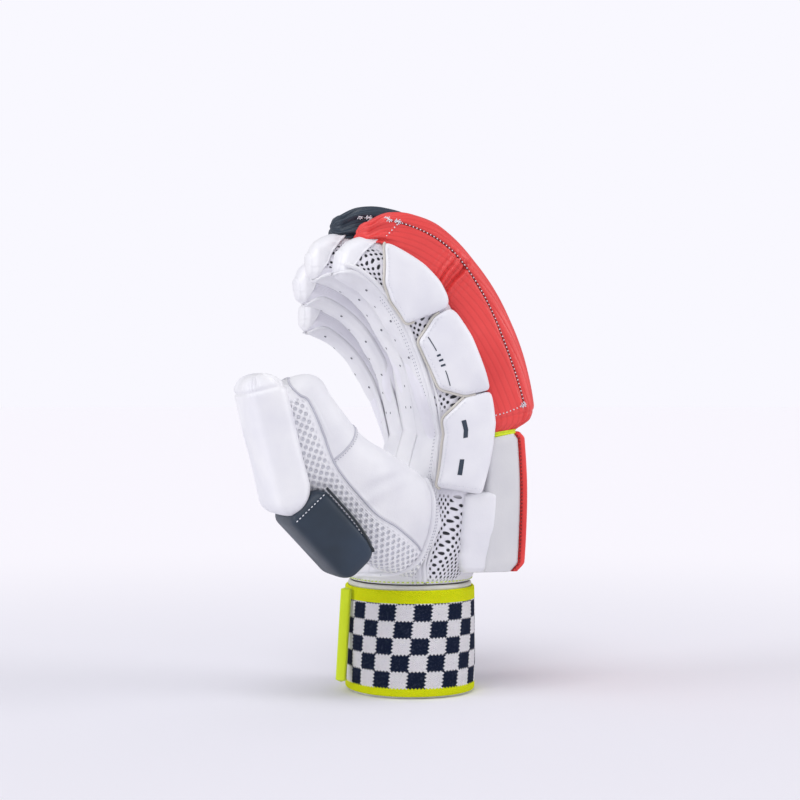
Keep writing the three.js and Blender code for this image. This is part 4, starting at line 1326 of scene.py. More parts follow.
# %% [markdown]
# ## Thumb pads
#
# Two padded blocks guard the thumb's back: a white one over the tip and a navy one below it. Each is a
# squared section carried along a straight line. Its inner and outer sides have their own outlines, with
# a rounded corner at each end, so one formula gives the soft white pad and the crisper navy one. The
# sides swell between their edges, as a foam block in leather does.

# %% Pads round the thumb
PAD = {"half_width": 21.0, "side": -57.0}
# The most that a rounded corner takes off, as a share of the depth, and the least that stays, in mm
CORNER_SHARE = 0.42
LEAST_DEPTH = 1.5
THUMB_PADS = {
    "thumb_tip_pad": {"foot": (-95.0, 101.0), "length": 74.0, "lean": 14.0, "power": 5.0, "depth": 22.0,
                      "outer_round": (9.0, 9.0), "inner_round": (15.0, 12.0), "side_round": (7.0, 12.0),
                      "swell": 1.0},
    "thumb_base_pad": {"foot": (-59.0, 67.5), "length": 46.5, "lean": 43.0, "power": 7.0, "depth": 26.0,
                       "outer_round": (7.0, 6.0), "inner_round": (10.0, 8.0), "side_round": (5.0, 6.0),
                       "swell": 0.6},
}


def corner_round(along, length, foot, head):
    """How far an outline draws in near its ends: radius minus the height of its quarter circle."""
    low = foot - np.sqrt(np.clip(foot ** 2 - np.clip(foot - along, 0, foot) ** 2, 0, None))
    high = head - np.sqrt(np.clip(head ** 2 - np.clip(head - (length - along), 0, head) ** 2, 0, None))
    return low + high


def pad_grid(pad, rows=120, columns=132):
    """Sections from foot to head between an outer and an inner outline, with squared corners."""
    length, lean = pad["length"], np.radians(pad["lean"])
    spread = (1 - np.cos(np.linspace(0, np.pi, rows))) / 2
    along = 0.35 * spread * length + 0.65 * np.linspace(0, 1, rows) * length
    most = pad["depth"] * CORNER_SHARE
    low = np.clip(corner_round(along, length, *pad["outer_round"]), 0, most)
    high = pad["depth"] - np.clip(corner_round(along, length, *pad["inner_round"]), 0, most)
    high = np.maximum(high, low + LEAST_DEPTH)
    width = PAD["half_width"] - corner_round(along, length, *pad["side_round"]) * 0.8
    turn = dense_turn(columns)
    out = ((high + low) / 2)[:, None] + ((high - low) / 2)[:, None] * corner_power(np.cos(turn), pad["power"])
    side = width[:, None] * corner_power(np.sin(turn), pad["power"]) + PAD["side"]
    x = pad["foot"][0] - along * np.sin(lean)
    z = pad["foot"][1] + along * np.cos(lean)
    points = sections(x, np.zeros(rows), z, np.full(rows, lean), out, side)
    middle = np.sin(np.pi * along / length)[:, None] ** 0.6
    flat = np.abs(np.sin(2 * turn))[None, :]
    return along, turn, raised(points, pad["swell"] * middle * (1 - flat) - 0.4 * middle, wrap=True)


# The white pad is tucked in near its tip, with pleats past the tuck. Millimetres along it and in depth
TUCK = {"place": 66.0, "width": 1.0, "depth": 0.9}
PLEATS = {"past": 4.0, "width": 4.0, "height": 0.35, "count": 26}
along, turn, tip_points = pad_grid(THUMB_PADS["thumb_tip_pad"])
tuck = TUCK["depth"] * bump_at(along - TUCK["place"], TUCK["width"])[:, None]
pleated = bump_at(along - TUCK["place"] - PLEATS["past"], PLEATS["width"])[:, None]
pleat = PLEATS["height"] * np.sin(turn * PLEATS["count"])[None, :] * pleated
slack = 0.25 * np.sin(along / 6.0)[:, None] * np.cos(2 * turn)[None, :]
tip_points = raised(tip_points, slack + pleat - tuck, wrap=True)
tip_pad = skin("white_thumb_pad", tip_points, pad_leather, wrap=True, closed=(True, True))
finish_piece(tip_pad, "white_leather", "thumb_tip_pad", fill=0.85)

along, turn, base_points = pad_grid(THUMB_PADS["thumb_base_pad"])
base_pad = skin("navy_thumb_pad", base_points, navy_leather, wrap=True, closed=(True, True))
finish_piece(base_pad, "navy_leather", "thumb_base_pad", fill=0.9)


# %% Thread on the navy pad
def pad_line(pad, along, out, lift=0.3):
    """Points on the camera's side of a pad, along it and out from its outer edge."""
    lean = np.radians(pad["lean"])
    x = pad["foot"][0] - along * np.sin(lean) + out * np.cos(lean)
    z = pad["foot"][1] + along * np.cos(lean) + out * np.sin(lean)
    y = np.full_like(x, PAD["side"] - PAD["half_width"] - lift)
    return np.stack([x, y, z], axis=-1), np.tile([0.0, -1.0, 0.0], (len(x), 1))


navy = THUMB_PADS["thumb_base_pad"]
run = np.linspace(0, 1, 60)
top_line = pad_line(navy, np.full(60, navy["length"] - 4.0), 3.0 + 19.5 * run, 0.75)
edge_line = pad_line(navy, 6.0 + 38.0 * run, navy["depth"] - 1.2 - 3.5 * (1 - run) ** 4, -1.2)
white_on_navy = sew("navy_pad_stitches", [top_line, edge_line], white_thread, length=1.1, gap=1.0)
finish_piece(white_on_navy, "white_leather")
# The dark cord lies beside the edge's stitches and hooks down at its first end
hook = edge_line[0] + np.array([0.9, -0.5, 0.6])
hook = np.concatenate([hook[0] + np.array([[1.6, 0.3, -3.0], [1.3, 0.1, -1.4]]), hook])
cord = skin("navy_pad_cord", piping_grid(hook, 0.75), dark_cord_and_seam_shadow, wrap=True, closed=(True, True))
finish_piece(cord, "navy_leather")

# %% [markdown]
# ## Rolls
#
# Each finger's back carries a long padded roll, stuffed firm and covered in ribbed leather. Its section is
# a squared ellipse, its table has a dip where the roll flexes, and its end is gathered under a whipped
# thread. The gathers are a wave round the end whose depth grows towards it, the flex crease is a valley
# with finer wrinkles beside it, and the long seam on each side is a narrow groove.

# %% Roll forms
ROLL = {"depth": 27.5, "half_width": 12.1, "seat": 4.0, "power": 3.4}
ROLL_ROWS = [
    (-0.038, 0.6, 0.86), (-0.015, 0.86, 0.97), (0.04, 0.98, 1), (0.22, 1, 1), (0.42, 0.96, 1),
    (0.585, 0.93, 1), (0.635, 0.92, 0.99), (0.69, 0.92, 1), (0.79, 0.9, 1), (0.88, 0.78, 0.97),
    (0.955, 0.58, 0.88), (1, 0.36, 0.66),
]
ROLL_FINISH = {"index": (red_leather, "red_leather"), "middle": (navy_roll_leather, "navy_leather"),
               "ring": (red_leather, "red_leather"), "little": (navy_roll_leather, "navy_leather")}
# Share along the roll, and how far out from the finger's spine its side seam lies
SEAM_ROWS = [(-0.038, 34.0), (0.03, 37.2), (0.35, 34.8), (0.543, 34.3), (0.677, 33.9), (0.931, 25.2), (1, 20)]
ROLL_FOOT = -0.038
CREASE = 0.635
# Share of the solid's roll that the gathered end really fills
ROLL_END = {"index": 0.955, "middle": 1.0, "ring": 1.0, "little": 1.0}
SEAM_WIDTH = 0.75
SEAM_DEPTH = 0.7
# Waves of folds: their height, how many go round (or how close they lie along), and where they are
GATHERS = {"height": 1.6, "folds": 11, "from": 0.86}
FOOT_FOLDS = {"height": 0.35, "folds": 21, "at": -0.03, "width": 0.03}
CREASE_FORM = {"depth": 2.2, "width": 0.009, "slant": 0.030}
WRINKLES = {"height": 1.15, "closeness": 260, "past": 0.025, "width": 0.05}
ROLL_HEM = {"depth": 0.35, "at": 0.012, "width": 0.006}


for name, finger in FINGERS.items():
    finger["roll_end"] = ROLL_END[name]


def roll_section(finger, share, turn):
    """Out and side of a roll's section. Its inner side reaches round the stall, its outer side follows
    the table."""
    depth, width = columns_of(ROLL_ROWS, share)
    stall_depth = columns_of(STALL_ROWS, share * finger["roll"])[0]
    inner = STALL_HALF_DEPTH * stall_depth - ROLL["seat"]
    half = (ROLL["depth"] * depth + ROLL["seat"]) / 2
    out = (inner + half)[:, None] + half[:, None] * corner_power(np.cos(turn), ROLL["power"])
    side = ROLL["half_width"] * width[:, None] * corner_power(np.sin(turn), ROLL["power"])
    return out, side


def roll_points(finger, share, turn):
    """A roll's sections, carried along its part of the finger's spine."""
    out, side = roll_section(finger, share, turn)
    s = share * finger["roll"] * finger["length"] * finger["roll_end"]
    x, z, lean = spine_at(finger, s)
    return sections(x, np.zeros_like(x), z, lean, out, side + finger["y"])


def roll_relief(finger, share, turn):
    """Heights over a roll: gathers, crease with wrinkles, side seams, and a soft unevenness."""
    share_grid = share[:, None]
    out, side = roll_section(finger, share, turn)
    seam_out = columns_of(SEAM_ROWS, share)[0][:, None]
    on_side = ease(0.55, 0.8, np.abs(side) / ROLL["half_width"])
    seam = SEAM_DEPTH * bump_at(out - seam_out, SEAM_WIDTH) * on_side * (1 - ease(0.95, 1.0, share_grid))
    gather_at = ease(GATHERS["from"], 1.0, share_grid)
    folded = np.cos(turn * GATHERS["folds"] + 1.6 * np.sin(3 * turn))
    gathers = GATHERS["height"] * folded * gather_at * (1 - 0.4 * gather_at)
    foot = (FOOT_FOLDS["height"] * np.cos(turn * FOOT_FOLDS["folds"] + np.sin(2 * turn))
            * bump_at(share_grid - FOOT_FOLDS["at"], FOOT_FOLDS["width"]))
    from_crease = share_grid - CREASE_FORM["slant"] * np.cos(turn) - CREASE
    inner_side = ease(0.8, 0.1, np.cos(turn))
    crease = CREASE_FORM["depth"] * bump_at(from_crease, CREASE_FORM["width"]) * inner_side
    puckered = bump_at(from_crease - WRINKLES["past"], WRINKLES["width"]) * (0.2 + 0.8 * on_side)
    wave = np.sin(from_crease * WRINKLES["closeness"] + np.sin(turn * 2))
    wrinkles = WRINKLES["height"] * wave * puckered * ease(0.6, -0.1, np.cos(turn))
    uneven = 0.15 * np.sin(share_grid * 31 + finger["place"] * 2 + np.cos(turn)) * np.cos(turn - 1)
    hem = ROLL_HEM["depth"] * bump_at(share_grid - ROLL_HEM["at"], ROLL_HEM["width"])
    return gathers + foot + wrinkles + uneven - crease - seam - hem


def roll_share(rows):
    """Shares from foot to end, closer together at the ends and at the crease."""
    even = np.linspace(0, 1, rows)
    return ROLL_FOOT + (1 - ROLL_FOOT) * (even - 0.035 * np.sin(2 * np.pi * even))


ROLL_ROWS_FINE = {"index": 290, "middle": 190, "ring": 180, "little": 190}
ROLL_COLUMNS = {"index": 144, "middle": 104, "ring": 100, "little": 104}
for name, finger in FINGERS.items():
    share = roll_share(ROLL_ROWS_FINE[name])
    turn = dense_turn(ROLL_COLUMNS[name])
    points = roll_points(finger, share, turn)
    points = raised(points, roll_relief(finger, share, turn), wrap=True)
    points = rounded_ends(points, foot=1.2, head=4.0)
    material, slot = ROLL_FINISH[name]
    piece = skin("roll_" + name, points, material, wrap=True, closed=(True, True))
    finish_piece(piece, slot, "finger_roll_" + name, fill=0.9)


# %% Roll seams
def roll_line(finger, share, place_out, side, lift):
    """A line over a roll's side at given distances out from the spine, with its normals."""
    centre_out, _ = roll_section(finger, share, np.full((len(share), 1), np.pi / 2))
    full_out, _ = roll_section(finger, share, np.zeros((len(share), 1)))
    half = np.maximum((full_out - centre_out)[:, 0], 0.1)
    wave = np.clip((place_out - centre_out[:, 0]) / half, -0.98, 0.98)
    turn = side * np.arccos(np.sign(wave) * np.abs(wave) ** (ROLL["power"] / 2))
    strip = roll_points(finger, share, turn[:, None] + np.array([-0.03, 0, 0.03]))
    normal = normals(strip)[:, 1]
    normal = normal * np.sign(normal[:, 1] * side + 1e-9)[:, None]
    return strip[:, 1] + normal * lift, normal


# Heights of a seam's stitches and of the dark bead under them, a painted shadow that lies deeper in the
# groove
STITCH_LIFT = -0.25
SHADOW_LIFT = -0.55
seam_share = np.linspace(0.045, 0.95, 200)
seam_place = columns_of(SEAM_ROWS, seam_share)[0]
# The stitched hem at the foot and the row across the end: millimetres out, and shares along
hem_out = np.linspace(19.0, 38.5, 30)
hem_share = 0.032 + 0.022 * np.linspace(0, 1, 30) ** 2
end_out = np.linspace(16.0, 27.5, 24)
end_share = np.linspace(0.935, 0.915, 24)
roll_stitches, roll_shadows = [], []
for name, finger in FINGERS.items():
    for side in (-1, 1):
        path, facing = roll_line(finger, seam_share, seam_place, side, STITCH_LIFT)
        roll_stitches.append((path, facing))
        shade_path, _ = roll_line(finger, seam_share, seam_place, side, SHADOW_LIFT)
        roll_shadows.append((name, "near" if side < 0 else "far", shade_path, facing))
        roll_stitches.append(roll_line(finger, hem_share, hem_out, side, 0.12))
        roll_stitches.append(roll_line(finger, end_share, end_out, side, 0.1))
roll_thread = sew("roll_stitches", roll_stitches, white_thread, length=0.75, gap=1.35, radius=0.42)
finish_piece(roll_thread, "white_leather")
# Under each seam's stitches a dark bead in the groove: a painted shadow
for name, side_name, path, facing in roll_shadows:
    roll_leather, slot = ROLL_FINISH[name]
    shadow_bead = seam_shadow_and_red_thread if roll_leather is red_leather else dark_cord_and_seam_shadow
    pipe(f"roll_seam_shadow_{name}_{side_name}", path, 0.5, shadow_bead, slot, facing, 8)


def knot(finger, share, place_out, side, spin):
    """A whipped knot: a few long threads that cross at one place."""
    rows = []
    for angle in np.radians([spin, spin + 38, spin - 30, spin + 80]):
        reach = np.linspace(-1.3, 1.3, 7)
        steps = share + reach * np.cos(angle) / finger["length"]
        rows.append(roll_line(finger, steps, place_out + reach * np.sin(angle), side, 0.35))
    return rows


# Share along the roll, millimetres out from the spine, and spin in degrees
KNOTS = [(0.955, 24.6, 20), (0.925, 25.8, -35), (0.05, 36.6, 60)]
knots = []
for finger in FINGERS.values():
    for side in (-1, 1):
        for share, place_out, spin in KNOTS:
            knots += knot(finger, share, place_out, side, spin)
knot_thread = sew("knots", knots, white_thread, length=1.2, gap=0.05, radius=0.26)
finish_piece(knot_thread, "white_leather")

# %% [markdown]
# ## Knuckle tapes, back blocks and facings
#
# Below each roll a folded neon tape closes the gap over the knuckle, and the back of the hand carries
# four blocks of foam with white leather sides and a red facing. A block's section is a rectangle with
# rounded corners, carried from foot to head. The facing is the outer slice of the same section with a
# soft crown, and its stitches lie along the seam between the two.

# %% Blocks
BLOCK = {"depth": 20.5, "face": 4.5, "half_width": 12.0, "foot": 68.5, "head": -8.8, "fan": 0.9,
         "seat": 4.0}
BLOCK_ROWS = [(0, 0.8, 0.84, 0), (0.075, 0.98, 0.91, 0), (0.5, 1, 0.96, 0), (0.94, 0.94, 1, 12),
              (1, 0.82, 0.95, 12)]
CORE_POWER = 8.0
FACING_POWER = 3.4


def block_points(finger, low, high, power, columns, rows=90, drawn=0.0):
    """Sections from foot to head between two depths off the hand's back, which both move in with the
    table's depth."""
    rise = (1 - np.cos(np.linspace(0, np.pi, rows))) / 2
    depth, width, lean = columns_of(BLOCK_ROWS, rise)
    lean = np.radians(lean)
    inset = BLOCK["depth"] * (depth - 1)
    bottom = low + np.where(low > 0, inset, 0)
    top = high + inset
    head_x, head_z, _ = spine_at(finger, BLOCK["head"])
    turn = dense_turn(columns)
    middle = STALL_HALF_DEPTH + (bottom + top) / 2
    out = middle[:, None] + ((top - bottom) / 2)[:, None] * corner_power(np.cos(turn), power)
    half_width = BLOCK["half_width"] * width - drawn
    side = half_width[:, None] * corner_power(np.sin(turn), power)
    fan = finger["y"] * (BLOCK["fan"] + (1 - BLOCK["fan"]) * rise)
    z = BLOCK["foot"] + (head_z - BLOCK["foot"]) * rise
    points = sections(np.full(rows, head_x), np.zeros(rows), z, lean, out, side + fan[:, None])
    return rise, turn, points


facing_seams = []
for name, finger in FINGERS.items():
    split = BLOCK["depth"] - BLOCK["face"]
    rise, turn, core = block_points(finger, -BLOCK["seat"], split + 0.6, CORE_POWER, 88)
    belly = np.sin(np.pi * rise)[:, None] ** 0.5
    core = raised(core, (0.5 * belly - 0.3) * (1 - np.abs(np.sin(2 * turn)))[None, :], wrap=True)
    core = rounded_ends(core, foot=1.0, head=1.0)
    piece = skin("block_" + name, core, block_leather, wrap=True, closed=(True, True))
    finish_piece(piece, "white_leather", "back_block_" + name, fill=0.95)
    rise, turn, face = block_points(finger, split, BLOCK["depth"], FACING_POWER, 96)
    crown = np.clip(np.cos(turn), 0, 1)[None, :] * np.sin(np.pi * rise)[:, None] ** 0.5
    face = raised(face, 0.7 * crown + 0.15 * np.sin(turn * 40)[None, :]
                  * bump_at(rise[:, None], 0.05), wrap=True)
    face = rounded_ends(face, foot=0.8, head=0.8)
    piece = skin("facing_" + name, face, red_facing, wrap=True, closed=(True, True))
    finish_piece(piece, "red_leather", "block_facing_" + name, fill=0.9)
    rise, turn, rim = block_points(finger, split, split + 0.9, FACING_POWER, 96, drawn=-0.15)
    quarter = len(turn) // 4
    for column in (quarter, 3 * quarter):
        facing_seams.append((rim[4:-4, column], np.tile([0, np.sin(turn[column]), 0], (len(rim) - 8, 1))))

facing_thread = sew("facing_stitches", facing_seams, seam_shadow_and_red_thread, length=1.1, gap=0.9, radius=0.38)
finish_piece(facing_thread, "red_leather")

# %% Knuckle tapes
TAPE = {"thickness": 3.6, "depth": 15.0, "seat": 1.0, "half_width": 10.5}
for name, finger in FINGERS.items():
    up = np.linspace(-1, 1, 40)
    at = BLOCK["head"] + 2 * GAP + TAPE["thickness"] / 2 + up * TAPE["thickness"] / 2
    turn = dense_turn(80)
    x, z, lean = spine_at(finger, at)
    end = np.clip(1 - np.abs(up) ** 6, 0.05, 1) ** 0.5
    start = STALL_HALF_DEPTH - TAPE["seat"]
    half = TAPE["depth"] / 2 * (0.94 + 0.06 * end)
    out = (start + TAPE["depth"] / 2) + half[:, None] * corner_power(np.cos(turn), 6.0)
    side = TAPE["half_width"] * (0.96 + 0.04 * end)[:, None] * corner_power(np.sin(turn), 6.0)
    points = sections(x, np.zeros(len(up)), z, lean, out, side + finger["y"])
    points = raised(points, 0.25 * np.sin(up * 9)[:, None], wrap=True)
    piece = skin("tape_" + name, points, neon_tape, wrap=True, closed=(True, True))
    finish_piece(piece, "neon_trim", "knuckle_tape_" + name)

# %% [markdown]
# ## Side bars
#
# Three stiff bars of padded white leather guard the outside of the index finger and leave two notches
# over the mesh, so that the finger can bend. Each is a pillow over an outline of about ten corners:
# rings run from the outline to its middle, and the height over them follows a squared circle, which gives
# a tight rolled edge and a nearly flat face. Corners are places along and out from the finger's spine.

# %% Bars
BAR = {"seat": 1.2, "thickness": 3.8, "crown": 1.0, "power": 6.0, "corner": 2.8}
# Millimetres along and out from the index finger's spine
BARS = {
    "upper": [(106, 10.8), (95.2, -6.4), (85, -11.4), (67.8, -12.6), (64.0, 3.4), (63.1, 12.9), (66.5, 15.6),
              (75, 17.0), (86, 16.2), (94.8, 14.4), (104.5, 12.8)],
    "middle": [(62.8, 3.3), (62.3, 12.8), (59.5, 15.2), (46, 17.8), (25.2, 19.2), (17.3, 19), (17.7, 3.9),
               (25.2, -9.3), (42.8, -11.3), (55, -11.7)],
    "lower": [(17.1, 3.9), (16.8, 19), (11, 19.2), (-8, 17.5), (-34, 13.3), (-31.8, -13.2), (-17, -12.4),
              (-3, -12.3), (8.5, -11.6)],
}


def rounded_outline(corners, radius, count):
    """A closed outline with each corner replaced by a parabola, its points evenly spaced."""
    corners = np.array(corners, float)
    before, after = np.roll(corners, 1, axis=0), np.roll(corners, -1, axis=0)
    reach_in = np.minimum(radius, 0.45 * np.linalg.norm(before - corners, axis=1))[:, None]
    reach_out = np.minimum(radius, 0.45 * np.linalg.norm(after - corners, axis=1))[:, None]
    start = corners + unit(before - corners) * reach_in
    end = corners + unit(after - corners) * reach_out
    t = np.linspace(0, 1, 9)[None, :, None]
    arcs = start[:, None] * (1 - t) ** 2 + corners[:, None] * 2 * t * (1 - t) + end[:, None] * t ** 2
    loop = arcs.reshape(-1, 2)
    loop = np.concatenate([loop, loop[:1]])
    run = np.append(0, np.cumsum(np.linalg.norm(np.diff(loop, axis=0), axis=1)))
    at = np.linspace(0, run[-1], count, endpoint=False)
    return np.stack([np.interp(at, run, loop[:, i]) for i in range(2)], axis=1)


def beside(finger, place, y):
    """Points at places (along, out) from a finger's spine and at a depth y."""
    x, z, lean = spine_at(finger, place[..., 0])
    return np.stack([x + place[..., 1] * np.cos(lean), np.broadcast_to(y, x.shape),
                     z + place[..., 1] * np.sin(lean)], axis=-1)


def pillow(finger, outline, base, top, crown, power, rings=26):
    """Rings from the outline to its middle: height = (1 - share ^ power) ^ (1 / power), plus a crown
    that grows with 1 - share squared."""
    share = np.cos(np.linspace(0, np.pi / 2, rings + 1)[:-1]) ** 0.6
    middle = outline.mean(axis=0)
    places = middle + share[:, None, None] * (outline - middle)
    height = (1 - share ** power) ** (1 / power) * (top - base) + crown * (1 - share ** 2)
    return places, beside(finger, places, (-(HAND_HALF_WIDTH + base + height))[:, None])


index = FINGERS["index"]
bar_outlines = {name: rounded_outline(corners, BAR["corner"], 240)
                for name, corners in BARS.items()}


def bar_slack(places):
    """The face is a little uneven, and dips where the bar's edge is pulled tight by its seam."""
    along, out = places[..., 0], places[..., 1]
    return 0.22 * np.sin(along / 5.2 + out / 9) * np.sin(out / 6.5 + 1) + 0.12 * np.sin(along / 2.3 - out / 4)


bar_faces = []
for name, outline in bar_outlines.items():
    places, points = pillow(index, outline, -BAR["seat"], BAR["thickness"], BAR["crown"], BAR["power"])
    points[..., 1] -= bar_slack(places) * np.linspace(0, 1, len(points))[:, None] ** 0.5
    bar_faces.append(points[6:].reshape(-1, 3))
    piece = skin("bar_" + name, points, bar_leather, wrap=True, closed=(False, True))
    finish_piece(piece, "white_leather", "side_bar_" + name, fill=0.95)

# %% Piping and stitches of the bars
TO_CAMERA = np.array([0.0, -1.0, 0.0])
# From and to, as shares round each outline, where the bar's edge is piped
PIPED = {"upper": (0.0, 0.46), "middle": (0.51, 1.05), "lower": (0.62, 1.02)}
# How far past the outline and off the hand the piping lies, and how far inside it the stitches
BAR_PIPING = {"past": 0.55, "off": 1.5, "radius": 0.7}
BAR_STITCHES = {"inside": 1.6, "off": BAR["thickness"] - 0.15}


def sewn_flat(path):
    """A row for sew that faces the camera's side."""
    return path, np.tile(TO_CAMERA, (len(path), 1))


bar_stitches = []
for name, (start, end) in PIPED.items():
    outline = bar_outlines[name]
    count = len(outline)
    chosen = np.arange(int(start * count), int(end * count)) % count
    away = unit(outline - outline.mean(axis=0))
    past = (outline + BAR_PIPING["past"] * away)[chosen]
    pipe("bar_piping_" + name, beside(index, past, -(HAND_HALF_WIDTH + BAR_PIPING["off"])),
         BAR_PIPING["radius"], cream_piping, "white_leather", TO_CAMERA)
    inside = (outline - BAR_STITCHES["inside"] * away)[chosen]
    bar_stitches.append(sewn_flat(beside(index, inside, -(HAND_HALF_WIDTH + BAR_STITCHES["off"]))))
# The lower bar's hem: millimetres along and out
hem_line = np.linspace((-29.6, -12.2), (-31.4, 12.4), 30)
bar_stitches.append(sewn_flat(beside(index, hem_line, -(HAND_HALF_WIDTH + BAR["thickness"] + 0.35))))
bar_thread = sew("bar_stitches", bar_stitches, white_thread, length=1.4, gap=0.9, radius=0.2)
finish_piece(bar_thread, "white_leather")

# %% Printed marks
# Two fine rules with three ticks between them on the middle bar, and two stripes on the lower one: from
# and to, each along and out, and the width, in millimetres
MARKS = [
    ((55, -5.9), (46, -5.0), 0.55), ((43.2, -5.8), (43.2, -3.6), 1.1),
    ((40.2, -5.6), (40.2, -3.2), 1.1), ((37.2, -5.5), (37.2, -2.9), 1.1),
    ((34, -3.9), (25.2, -3.5), 0.55), ((5.4, -0.7), (-4.2, -0.4), 2.6),
    ((-15.8, -1.5), (-24.4, -1.9), 2.6),
]
INK_LIFT = 0.12
bar_faces = np.concatenate(bar_faces)


def mark_points(start, end, width, rows=30, columns=8):
    """A flat strip from start to end, laid on the nearest points of the bars' faces."""
    start, end = np.array(start, float), np.array(end, float)
    side = unit(np.array([start[1] - end[1], end[0] - start[0]]))
    up, across = np.linspace(0, 1, rows)[:, None, None], np.linspace(-0.5, 0.5, columns)[None, :, None]
    points = beside(index, start + (end - start) * up + side * width * across, -HAND_HALF_WIDTH)
    gap = np.hypot(points[..., 0, None] - bar_faces[:, 0], points[..., 2, None] - bar_faces[:, 2])
    points[..., 1] = bar_faces[np.argpartition(gap, 3, axis=-1)[..., :3], 1].mean(axis=-1) - INK_LIFT
    return points


for number, (start, end, width) in enumerate(MARKS):
    mark = skin(f"bar_mark_{number + 1}", mark_points(start, end, width), print_ink)
    if mark.data.polygons[0].normal[1] > 0:
        mark.data.flip_normals()
    finish_piece(mark, "navy_leather")

# %% [markdown]
# ## Side pad
#
# A narrow pad fills the side of the hand between the lowest bar and the cuff. Its section is a squared
# ellipse, which leans with the hand's side from the cuff to the bar.

# %% Side pad
# The foot and the head are places along Y and Z
SIDE_PAD = {"x": 25.0, "foot": (-35.0, 68.5), "head": (-41.0, 111.5), "half_depth": 9.5, "half_width": 8.0,
            "power": 6.0}
SIDE_PAD_ROWS = [(0, 0.86), (0.06, 1), (0.5, 1), (0.96, 1), (1, 0.86)]


def side_pad_points(rows=70, columns=84):
    """A squared section carried up a straight line, with a few soft folds near its foot."""
    rise = np.linspace(0, 1, rows)
    size = columns_of(SIDE_PAD_ROWS, rise)[0][:, None]
    turn = dense_turn(columns)
    y, z = np.linspace(SIDE_PAD["foot"], SIDE_PAD["head"], rows).T
    out = SIDE_PAD["half_depth"] * size * corner_power(np.cos(turn), SIDE_PAD["power"])
    side = SIDE_PAD["half_width"] * size * corner_power(np.sin(turn), SIDE_PAD["power"])
    points = sections(np.full(rows, SIDE_PAD["x"]), y, z, np.zeros(rows), out, side)
    folds = 0.5 * np.sin(rise * 22 + 1)[:, None] * bump_at(rise[:, None] - 0.25, 0.25)
    return raised(points, folds * np.cos(turn)[None, :] + 0.5 * np.sin(np.pi * rise)[:, None], wrap=True)


pad_points = rounded_ends(side_pad_points(), foot=1.0, head=1.0)
side_pad = skin("side_panel_pad", pad_points, bar_leather, wrap=True, closed=(True, True))
finish_piece(side_pad, "white_leather", "side_pad", fill=0.8)

# %% [markdown]
# ## Fingertip caps
#
# Over each stall's end a cap of smooth white leather is sewn under the roll. It is the stall's own surface
# raised, from a slanted lower edge to the tip, and puckers where it is gathered into the seam.

# %% Caps
CAP = {"lift": 0.8, "from": 0.87, "drop": 0.08, "palm_drop": 0.03, "palm_columns": 26, "columns": 80,
       "rings": 34}


def cap_points(finger):
    """Rings from the slanted lower edge to the tip, round the palm side and the back. The edge is
    further on towards the palm, as a power of the share round the back."""
    palm_across = np.linspace(1, 0, CAP["palm_columns"])[1:-1]
    across = np.linspace(0, 1, CAP["columns"])
    back_edge = CAP["from"] + CAP["drop"] * np.abs(2 * across - 1) ** 1.5
    palm_edge = CAP["from"] + CAP["drop"] + CAP["palm_drop"] * np.sin(np.pi * palm_across)
    up = np.linspace(0, 1, CAP["rings"])
    rings = []
    for share in up:
        back_s = (back_edge + (1 - back_edge) * share) * finger["length"]
        palm_s = (palm_edge + (1 - palm_edge) * share) * finger["length"]
        rings.append(np.concatenate([surface(finger, palm_s, palm_across[:, None], "palm")[:, 0],
                                     surface(finger, back_s, across[:, None], "back")[:, 0]]))
    points = np.stack(rings)
    on_back = np.append(np.zeros(len(palm_across)), np.sin(np.pi * across) ** 0.4)[None, :]
    wave = np.sin(np.append(0 * palm_across, across * 60))[None, :]
    pucker = 0.35 * wave * (1 - ease(0.0, 0.35, up))[:, None]
    hem = 0.45 * bump_at(up[:, None] - 0.04, 0.04)
    height = 0.12 + (CAP["lift"] + pucker + hem) * on_back
    return rounded_end(raised(points, height, wrap=True))


for name, finger in FINGERS.items():
    cap = skin("cap_" + name, cap_points(finger), pad_leather, wrap=True, closed=(False, True))
    finish_piece(cap, "white_leather")

# %% [markdown]
# ## Perforations and fine stitches
#
# The palm's tongues are punched with small holes for air, two and one in turn. Each is a small dark disc
# on the leather: painted shade where the hole opens onto the mesh below. Rows of fine thread follow the
# palm's outer edges and the seam across the thumb.


# %% Punched holes
def dishes(name, places, facings, radius, material, sides=10):
    """Flat rings of points round each place, square to its facing, as one mesh of many-sided faces."""
    side = unit(np.cross(facings, [0.0, 0.0, 1.0]))
    up = np.cross(side, facings)
    turn = dense_turn(sides)[None, :, None]
    ring = places[:, None] + radius * (np.cos(turn) * side[:, None] + np.sin(turn) * up[:, None])
    faces = np.arange(len(places) * sides).reshape(-1, sides)
    mesh = bpy.data.meshes.new(name)
    mesh.from_pydata(to_frame(ring.reshape(-1, 3)).tolist(), [], faces.tolist())
    made = link(name, mesh, material)
    normal = np.zeros(len(faces) * 3)
    mesh.polygons.foreach_get("normal", normal)
    if np.sum(normal.reshape(-1, 3) * facings) < 0:
        mesh.flip_normals()
    return made


# Millimetres along a finger: the first hole, the step and how far before the tip they end
HOLES = {"index_start": 22.0, "start": 14.0, "step": 13.0, "before_tip": 12.0, "radius": 0.72, "lift": 0.1}
